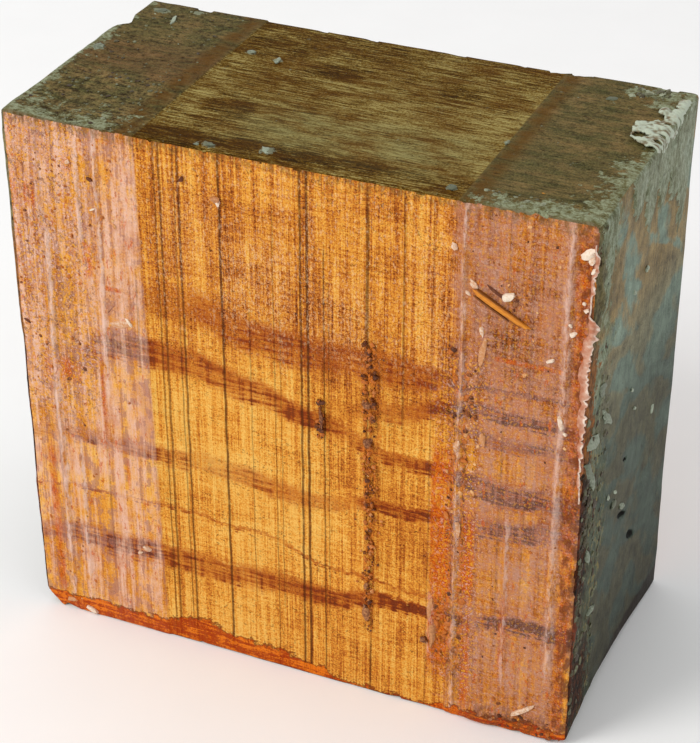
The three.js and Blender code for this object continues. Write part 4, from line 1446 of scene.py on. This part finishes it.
    # Painted shadow along the left side of two ridges of wax
    ridge_shadow = sway.near(43.5, 0.8, 0.8).most(sway.near(-67.9, 0.9, 0.8)) * film
    wood = p.mix(ridge_shadow * (0.3 + milk).held() * 0.5, wood, paint_of(124, 84, 76))
    caught = abs(sway - 21.1).near(0.5, 1.4, 0.6) * z.inside(21, 108, 3)
    caught = caught.most(abs(sway - 44.6).near(1.5, 0.7) * z.inside(12, 110, 5) * 0.8)
    caught = caught.most(x.inside(39, 47, 1.5) * z.inside(15, 38, 3) * 0.7)
    caught = caught.most(x.inside(19, 24, 0.8) * z.inside(62, 106, 3) * 0.7)
    clumps = p.cloud((1.2, 3, 2.0), shift + 41, 4, 0.7).step(-0.15, 0.2)
    soil = p.mix((0.5 + 1.8 * torn + 0.5 * grit).held(), paint_of(84, 34, 12), paint_of(222, 124, 44))
    wood = p.mix(caught * (0.3 + 0.7 * clumps) * 0.9, wood, soil)

    # The wet red rim along the foot, and the dirty end of it
    foot = p.profile(x, FOOT_RIM)
    over = z - foot + 1.6 * p.cloud((2.6, 3, 2), shift + 43, 3, 0.6) + 0.3 * grit
    wet = p.mix((0.4 + 1.6 * fibres + 0.9 * grit + 1.2 * murk).held(), colours.rim, paint_of(240, 122, 16))
    wood = p.mix(over.step(0.35, -0.35) * 0.92, wood, wet)
    wood = p.mix(abs(over - 0.1).step(0.55, 0.1) * 0.7, wood, paint_of(96, 34, 6))
    soiled = (x.step(44, 56) * (z + 4 * torn).step(9, 3)).most((x + 3 * torn).step(70.5, 74))
    wood = p.mix(soiled * (0.55 + 1.8 * murk).held() * 0.75, wood, paint_of(104, 52, 22))
    crest = (z + 1.5 * murk).step(146.5, 149) * (0.5 + 1.6 * torn).held()
    wood = p.mix(crest * 0.6, wood, paint_of(110, 84, 44))

    height = 0.5 + 0.2 * grit + 0.12 * dashes + 0.14 * sawn - 0.6 * lines - 0.3 * pores + beads * 0.4
    height = height + film * (0.14 * murk - 0.1 * sawn) + crust * 0.2 * grains
    roughness = (0.58 + 0.08 * grit - 0.16 * film + 0.1 * dirt * film).held()
    return p.finish(wood, roughness, height, bump=0.8, depth=0.5, specular=0.07)


# The weathered top and base. Dark patches: x, y, half widths, strength.
SHADES = (
    (-27, -14, 7, 8, 1.0),
    (-11, 15, 8, 4.5, 0.9),
    (22, 15, 6, 5, 1.0),
    (0, -31.5, 28, 4, 0.6),
    (-32, -33, 9, 5, 0.7),
    (-34, 22, 10, 7, 0.4),
)


def weathered_face(name, colours, shift):
    """The top and the base: old grey-brown wood with fine streaks, waxed at both ends."""
    p = Paint(name)
    x, y = p.x, p.y

    # Streaks of the weathered middle
    grit = p.cloud((0.5, 0.5, 0.5), shift + 16, 2, 0.7)
    streaks = p.cloud((13, 0.75, 9), shift, 5, 0.7, 0.3)
    hairs = p.cloud((5, 0.3, 9), shift + 2, 3, 0.65, 0.3)
    patches = p.cloud((15, 6, 30), shift + 4, 3, 0.6)
    thin = p.cloud((8, 0.24, 9), shift + 22, 3, 0.7, 0.2).step(0.2, 0.5)
    light = 0.48 + 0.38 * streaks + 0.75 * hairs + 0.28 * patches + 0.4 * grit + 0.28 * thin
    light = light + p.profile(x, ((-76, -0.06), (-30, -0.05), (0, 0), (30, 0.07), (76, 0.07)))
    depths = ((-38.5, -0.18), (-30, -0.1), (-22, 0.1), (0, 0.06), (15, 0.0), (38.5, -0.16))
    light = light + p.profile(y, depths)
    dark = None
    for at_x, at_y, wide, deep, strength in SHADES:
        away = ((x - at_x) / wide) ** 2 + ((y - at_y) / deep) ** 2 + 0.5 * streaks
        spot = away.step(1.6, 0.2) * strength
        dark = spot if dark is None else dark.most(spot)
    light = light - 0.3 * dark
    tones = ((0.0, colours.peat), (0.32, colours.umber), (0.62, colours.olive), (1.0, colours.sand))
    wood = p.ramp(light, *tones)
    green = (x.inside(-22, 38, 10) * y.inside(-30, -8, 6)) * (0.6 + 0.6 * patches).held()
    wood = p.mix(green * 0.4, wood, paint_of(112, 116, 78))
    warm = (patches + 0.5 * p.cloud((26, 3, 30), shift + 6, 3)).step(0.5, -0.9)
    wood = p.mix(warm * 0.35, wood, paint_of(112, 70, 20))

    # The waxed ends
    left = (x + 0.15 * hairs).step(FILM_LEFT + 0.4, FILM_LEFT - 0.3)
    right = (x + 0.15 * hairs).step(FILM_RIGHT - 0.4, FILM_RIGHT + 0.3)
    film = left.most(right)
    tone = p.cloud((9, 5, 20), shift + 8, 4, 0.62)
    crusty = p.cloud((1.6, 1.3, 2), shift + 18, 4, 0.7)
    rough_end = left * (0.6 + 0.5 * y.step(-2, -14)) + right * 0.35
    veil = p.mix((0.5 + 0.7 * tone + 0.3 * streaks).held(), colours.moss, colours.dusk)
    lit = 1.0 + 1.2 * crusty * rough_end + 0.45 * grit + 0.4 * streaks + 0.4 * tone
    veil = p.mix(1.0, veil, lit, "MULTIPLY")
    russet = (y + 3 * tone).inside(-7, 13, 5) * left * (0.5 + 0.5 * streaks).held()
    veil = p.mix(russet * 0.6, veil, paint_of(106, 62, 38))
    holes = crusty.step(-0.28, -0.5) * (left * 0.75 + right * 0.3)
    veil = p.mix(holes, veil, paint_of(54, 42, 22))
    wood = p.mix(film * 0.94, wood, veil)
    shade = (x + 1.2 * tone).inside(-46.5, FILM_LEFT - 0.6, 2)
    shade = shade.most((x + tone).inside(FILM_RIGHT + 0.6, 47.5, 2))
    wood = p.mix(shade * film * 0.75 * (0.8 + 0.8 * tone).held(), wood, paint_of(94, 60, 6))

    # Pale and green wax
    curdle = p.cloud((3.8, 3.2, 4), shift + 10, 5, 0.7)
    edge = ((x - 70) / 3.4).least((-6 - y) / 4)
    edge = edge.most(((x - 61.5) / 3).least((72 - x) / 3).least((y - 29.5) / 3) * 0.7)
    edge = edge.most(((-31.6 - y) / 2.6).least((x - 47) / 6))
    edge = edge.most(((-30.5 - y) / 5).least((-48 - x) / 6) * 0.8).most((abs(x) - 74.6) / 1.6)
    edge = (edge + 2.4 * curdle).step(0.05, 0.45)
    pale_green = p.mix((0.5 + 1.1 * crusty + 0.3 * grit).held(), paint_of(100, 94, 56), colours.sage_top)
    wood = p.mix(edge * 0.9, wood, pale_green)
    pale = None
    for at_x, at_y, wide in TOP_BLOBS:
        away = ((x - at_x) / (wide / 2)) ** 2 + ((y - at_y) / (wide * 0.38)) ** 2
        spot = (away + 2.0 * curdle).step(1.15, 0.6)
        pale = spot if pale is None else pale.most(spot)
    sprinkled = p.cloud((2.2, 1.8, 4), shift + 20, 4, 0.7) + 0.25 * (left * y.step(-24, -34))
    pale = pale.most(sprinkled.step(0.72, 0.86))
    wood = p.mix(pale * 0.7, wood, paint_of(146, 152, 128))

    # Specks
    specks = p.spots((6, 4.4, 6), shift + 12, 0.0, 0.1)
    wood = p.mix(specks * film, wood, paint_of(204, 140, 56))
    pits = (p.cloud((1.5, 0.7, 2), shift + 14, 3, 0.7) - 0.2 * dark).step(-0.5, -0.7)
    wood = p.mix(pits * 0.7, wood, colours.peat)
    rim = (abs(y) - HALF_DEPTH + 0.5 * crusty).step(-1.0, -0.1)
    wood = p.mix(rim * 0.6, wood, paint_of(96, 62, 30))

    height = 0.5 + (1 - film) * (0.3 * streaks + 0.25 * hairs) + film * 0.24 * crusty
    height = height + edge * 0.3 + pale * 0.3
    height = height - pits * 0.3 + 0.1 * grit
    roughness = (0.66 - 0.1 * film + 0.06 * hairs).held()
    return p.finish(wood, roughness, height, bump=0.8, depth=0.45, specular=0.03)


# Painted light on a waxed end, darker towards its foot where less light falls: z, level
END_PAINTED_LIGHT = (
    (0, 0.2), (12, 0.23), (26, 0.29), (42, 0.32), (57, 0.36), (75, 0.4), (95, 0.66), (112, 0.84), (150, 0.84),
)


def dipped_end(name, colours, shift):
    """A sawn end under old wax: cold and brown patches, sage wax at its top and its front edge."""
    p = Paint(name)
    y, z = p.y, p.z

    # Patches that run askew
    skew = p.node("ShaderNodeVectorRotate", {"rotation_type": "X_AXIS"}, {"Vector": p.place, "Angle": 0.42})
    grit = p.cloud((0.5, 0.5, 0.5), shift + 16, 2, 0.7)
    murk = p.cloud((5, 4, 4), shift + 2, 4, 0.65)
    brush = p.cloud((4, 0.9, 8), shift + 4, 3, 0.6)
    askew = p.cloud((40, 24, 11), shift, 3, 0.5, 0.5, skew)
    warm = (0.5 + 3.2 * askew + 0.6 * murk + z.step(98, 118) * 0.9).held()
    clay = p.mix(z.step(98, 118), paint_of(144, 140, 110), colours.clay)
    wax = p.mix(warm, colours.teal, clay)
    # Painted shade: the end darker towards its foot and lighter at its top
    lit = p.profile(z, END_PAINTED_LIGHT)
    wax = p.mix(1.0, wax, lit * (1 + 0.4 * murk + 0.35 * grit + 0.35 * brush - 0.4 * askew), "MULTIPLY")

    # Sage wax
    ragged = p.cloud((3, 2.6, 2.6), shift + 6, 4, 0.7)
    sheets = None
    for middle, low, wide in CURTAIN:
        away = ((y - middle) / (wide / 2)) ** 2 + ((z - HEIGHT) / (HEIGHT - low)) ** 2
        sheet = (away + 0.4 * ragged).step(1.02, 0.96)
        sheets = sheet if sheets is None else sheets.most(sheet)
    border = p.profile(z, ((0, -14), (20, -21), (60, -18), (84, -23), (104, -24.5), (150, -24)))
    front = (y - border + 7 * ragged + 5 * askew).step(0.3, -0.5)
    tone = p.cloud((1.8, 1.5, 2.2), shift + 8, 4, 0.7)
    broad = p.cloud((6, 6, 7), shift + 18, 3, 0.6)
    flakes = p.cloud((2.4, 1.7, 3.2), shift + 20, 4, 0.75).step(0.06, 0.16)
    pale = 0.46 + 0.45 * tone + 0.4 * broad + 0.2 * grit + 0.28 * flakes
    pale = p.ramp(pale, (0.1, colours.lichen), (0.5, colours.sage), (0.9, colours.frost))
    # The sage wax gets the same painted shade towards the foot
    pale = p.mix(1.0, pale, (lit * 0.85 + 0.12).held(), "MULTIPLY")
    patchy = (0.85 + 1.2 * broad - 0.5 * z.step(100, 70) * flakes).held()
    wax = p.mix(sheets * 0.92, wax, pale)
    wax = p.mix(front * patchy * 0.85, wax, pale)
    ochre = (tone + 0.6 * broad).step(0.34, 0.5) * front.most(sheets * 0.4) * z.step(108, 86)
    wax = p.mix(ochre * 0.6, wax, paint_of(150, 128, 66))

    # Bare wood and dirt along the front edge, and the dark foot
    dirt = p.cloud((2.4, 2, 3.2), shift + 10, 4, 0.7)
    bare = (y + 4 * dirt).step(-32.9, -33.8) * z.inside(84, 143, 4)
    bare = bare.most((y + 3 * dirt).step(-36.4, -37.4))
    earth = p.mix(z.step(112, 122), paint_of(128, 76, 28), paint_of(104, 94, 62))
    earth = p.mix(z.step(88, 74), earth, paint_of(112, 48, 22))
    wax = p.mix(bare * 0.92, wax, p.mix(1.0, earth, 1.0 + 1.0 * tone + 0.5 * murk, "MULTIPLY"))
    grime = (y + 6 * dirt).step(-24, -27) * z.inside(4, 27, 5)
    grime = grime.most((y + 4 * dirt).step(-30, -33) * z.inside(44, 62, 5))
    grime = grime.most((y + 4 * dirt).step(-31, -34) * z.inside(66, 84, 4))
    grime = grime.most((dirt - 0.2 * z.step(70, 110)).step(0.3, 0.42) * front)
    soot = p.mix((0.4 + 1.4 * tone).held(), paint_of(26, 12, 6), paint_of(84, 40, 18))
    wax = p.mix(grime * 0.92, wax, soot)
    foot = (z + 0.8 * dirt).step(7.6, 6.2) * (y + 2 * dirt).step(-13, -8)
    wax = p.mix(foot * 0.85, wax, paint_of(34, 20, 10))

    # Slits and flecks
    slits = None
    for at_y, at_z, long, wide, slope in SLITS:
        turn = math.radians(slope)
        along = (y - at_y) * math.cos(turn) + (z - at_z) * math.sin(turn)
        over = (z - at_z) * math.cos(turn) - (y - at_y) * math.sin(turn)
        away = (along / (long / 2)) ** 2 + (over / (wide / 2)) ** 2
        slit = (away + 0.25 * ragged).step(1.0, 0.5)
        slits = slit if slits is None else slits.most(slit)
    # Painted shade: the slits are filled nearly black, the shade inside deep cracks; the left end has no
    # dents under them
    wax = p.mix(slits * 0.95, wax, paint_of(10, 6, 2))
    flecks = p.spots((9, 7, 9), shift + 12, 0.0, 0.12)
    wax = p.mix(flecks * 0.85, wax, paint_of(184, 190, 168))
    pits = p.cloud((2, 1.3, 1.5), shift + 14, 3, 0.7).step(-0.55, -0.75)
    wax = p.mix(pits * 0.6, wax, paint_of(48, 42, 28))

    height = 0.5 + 0.1 * murk + 0.08 * brush + 0.05 * grit - 0.8 * slits
    height = height + (sheets + front * 0.6) * (0.3 + 0.3 * tone)
    height = height + grime * 0.3 * dirt - pits * 0.3
    roughness = (0.5 - 0.06 * sheets + 0.06 * brush + 0.1 * front).held()
    return p.finish(wax, roughness, height, bump=0.8, depth=0.45, specular=0.06)


def crumb_paint(name, dark, middle, pale):
    """Wax crumbs, from dark to pale by the tone of each."""
    p = Paint(name)
    tone = p.node("ShaderNodeAttribute", {"attribute_name": "tone"}, out="Fac")
    grain = p.cloud((0.6, 0.6, 0.6), 3, 3, 0.6)
    tone = (tone + 0.2 * grain).held()
    colour = p.mix(tone.step(0.0, 0.5), paint_of(*dark), paint_of(*middle))
    colour = p.mix(tone.step(0.5, 1.0), colour, paint_of(*pale))
    return p.finish(colour, 0.5 + 0.06 * grain, 0.5 + 0.3 * grain, bump=0.5, depth=0.15)


def curd_paint(colours):
    """The curdled wax: pale folds with brown hollows."""
    p = Paint("curdled_wax")
    tone = p.node("ShaderNodeAttribute", {"attribute_name": "tone"}, out="Fac")
    grain = p.cloud((0.8, 0.8, 0.8), 5, 3, 0.6)
    stain = p.cloud((3.4, 3.4, 3.4), 9, 3, 0.6)
    light = (tone + 0.14 * grain).held()
    colour = p.mix(light.step(0.05, 0.6), paint_of(112, 94, 58), tuple(colours.curd))
    colour = p.mix(stain.step(0.4, 1.3) * 0.6, colour, paint_of(150, 116, 70))
    height = 0.5 + 0.25 * grain
    return p.finish(colour, 0.4 + 0.06 * grain, height, bump=0.5, depth=0.2, specular=0.4, coat=0.1)


def splinter_paint():
    """Raw orange wood with painted shade along its edges, its fibres along the sliver."""
    p = Paint("splinter_wood")
    slope = math.radians(SPLINTER[5])
    across = (p.z - SPLINTER[1]) * math.cos(slope) - (p.x - SPLINTER[0]) * math.sin(slope)
    fibre = p.cloud((2.2, 1, 1.2), 2, 3, 0.6)
    line = (across * 7 + fibre).using("SINE")
    light = 0.6 + 0.3 * fibre + 0.15 * line
    colour = p.mix(light, paint_of(160, 78, 8), paint_of(240, 156, 44))
    # Painted shade along the splinter's edges
    colour = p.mix(abs(across - 0.2 + 0.15 * fibre).step(0.5, 0.8) * 0.8, colour, paint_of(84, 36, 10))
    return p.finish(colour, 0.6 + 0.05 * fibre, 0.5 + 0.3 * line, bump=0.6, depth=0.2)


# The stage


CAMERA = Vector((191.8, -442.8, 369.2))
AZIMUTH, ELEVATION = math.radians(23.5), math.radians(31.58)
LENS = 103.64


def area_light(name, place, target, size, power, colour):
    light = bpy.data.lights.new(name, "AREA")
    light.shape = "DISK"
    light.size = size
    light.energy = power
    light.color = colour
    obj = bpy.data.objects.new(name, light)
    obj.location = place
    obj.rotation_euler = (Vector(target) - Vector(place)).to_track_quat("-Z", "Y").to_euler()
    bpy.context.scene.collection.objects.link(obj)


class TURNING_BLANK_OT_stage(bpy.types.Operator):
    """Adds the pale floor, the soft lights and the camera"""

    bl_idname = "turning_blank.stage"
    bl_label = "Stage"
    bl_options = {"REGISTER", "UNDO"}

    def execute(self, context):
        bpy.ops.object.select_all(action="DESELECT")
        bpy.ops.mesh.primitive_plane_add(size=6, location=(0, 0, 0))
        floor = bpy.context.object
        floor.name = "floor"
        p = Paint("pale_floor")
        grain = p.cloud((30, 30, 30), 0, 3)
        colour = p.mix((0.5 + 0.3 * grain).held(), (0.9, 0.9, 0.9, 1), (0.93, 0.93, 0.93, 1))
        floor.data.materials.append(p.finish(colour, 0.8 + 0.03 * grain, 0.5 + 0.1 * grain, 0.1, 0.1, 0.1))

        world = bpy.data.worlds.new("soft_room")
        world.use_nodes = True
        world.node_tree.nodes["Background"].inputs["Color"].default_value = (1, 1, 1, 1)
        world.node_tree.nodes["Background"].inputs["Strength"].default_value = 0.8
        context.scene.world = world
        area_light("key", (-0.9, -1.1, 1.1), (0, 0, 0.08), 0.9, 16, (1, 0.98, 0.95))
        context.scene.view_settings.view_transform = "Standard"

        camera_data = bpy.data.cameras.new("camera")
        camera_data.lens = LENS
        camera = bpy.data.objects.new("camera", camera_data)
        camera.location = (CAMERA + MIDDLE) * MM
        back = Vector(
            (
                math.sin(AZIMUTH) * math.cos(ELEVATION),
                -math.cos(AZIMUTH) * math.cos(ELEVATION),
                math.sin(ELEVATION),
            )
        )
        camera.rotation_euler = (-back).to_track_quat("-Z", "Y").to_euler()
        context.scene.collection.objects.link(camera)
        context.scene.camera = camera
        return {"FINISHED"}


class TURNING_BLANK_PT_panel(bpy.types.Panel):
    """Lists the pieces of the turning blank"""

    bl_idname = "TURNING_BLANK_PT_panel"
    bl_label = "Turning blank"
    bl_space_type = "VIEW_3D"
    bl_region_type = "UI"
    bl_category = "Turning blank"

    def draw(self, context):
        for operator in OPERATORS:
            self.layout.operator(operator.bl_idname)
        for group in (context.scene.blank_sizes, context.scene.blank_colours):
            for name in group.__annotations__:
                self.layout.prop(group, name)


OPERATORS = (
    TURNING_BLANK_OT_stage,
    TURNING_BLANK_OT_block,
    TURNING_BLANK_OT_crumbs,
    TURNING_BLANK_OT_flakes,
    TURNING_BLANK_OT_clot,
    TURNING_BLANK_OT_splinter,
)
CLASSES = (BlankSizes, BlankColours, *OPERATORS, TURNING_BLANK_PT_panel)


def register():
    for cls in CLASSES:
        bpy.utils.register_class(cls)
    bpy.types.Scene.blank_sizes = PointerProperty(type=BlankSizes)
    bpy.types.Scene.blank_colours = PointerProperty(type=BlankColours)


def unregister():
    del bpy.types.Scene.blank_colours
    del bpy.types.Scene.blank_sizes
    for cls in reversed(CLASSES):
        bpy.utils.unregister_class(cls)


def main():
    register()
    bpy.ops.turning_blank.stage()
    bpy.ops.turning_blank.block()
    bpy.ops.turning_blank.crumbs()
    bpy.ops.turning_blank.flakes()
    bpy.ops.turning_blank.clot()
    bpy.ops.turning_blank.splinter()


if __name__ == "__main__":
    main()
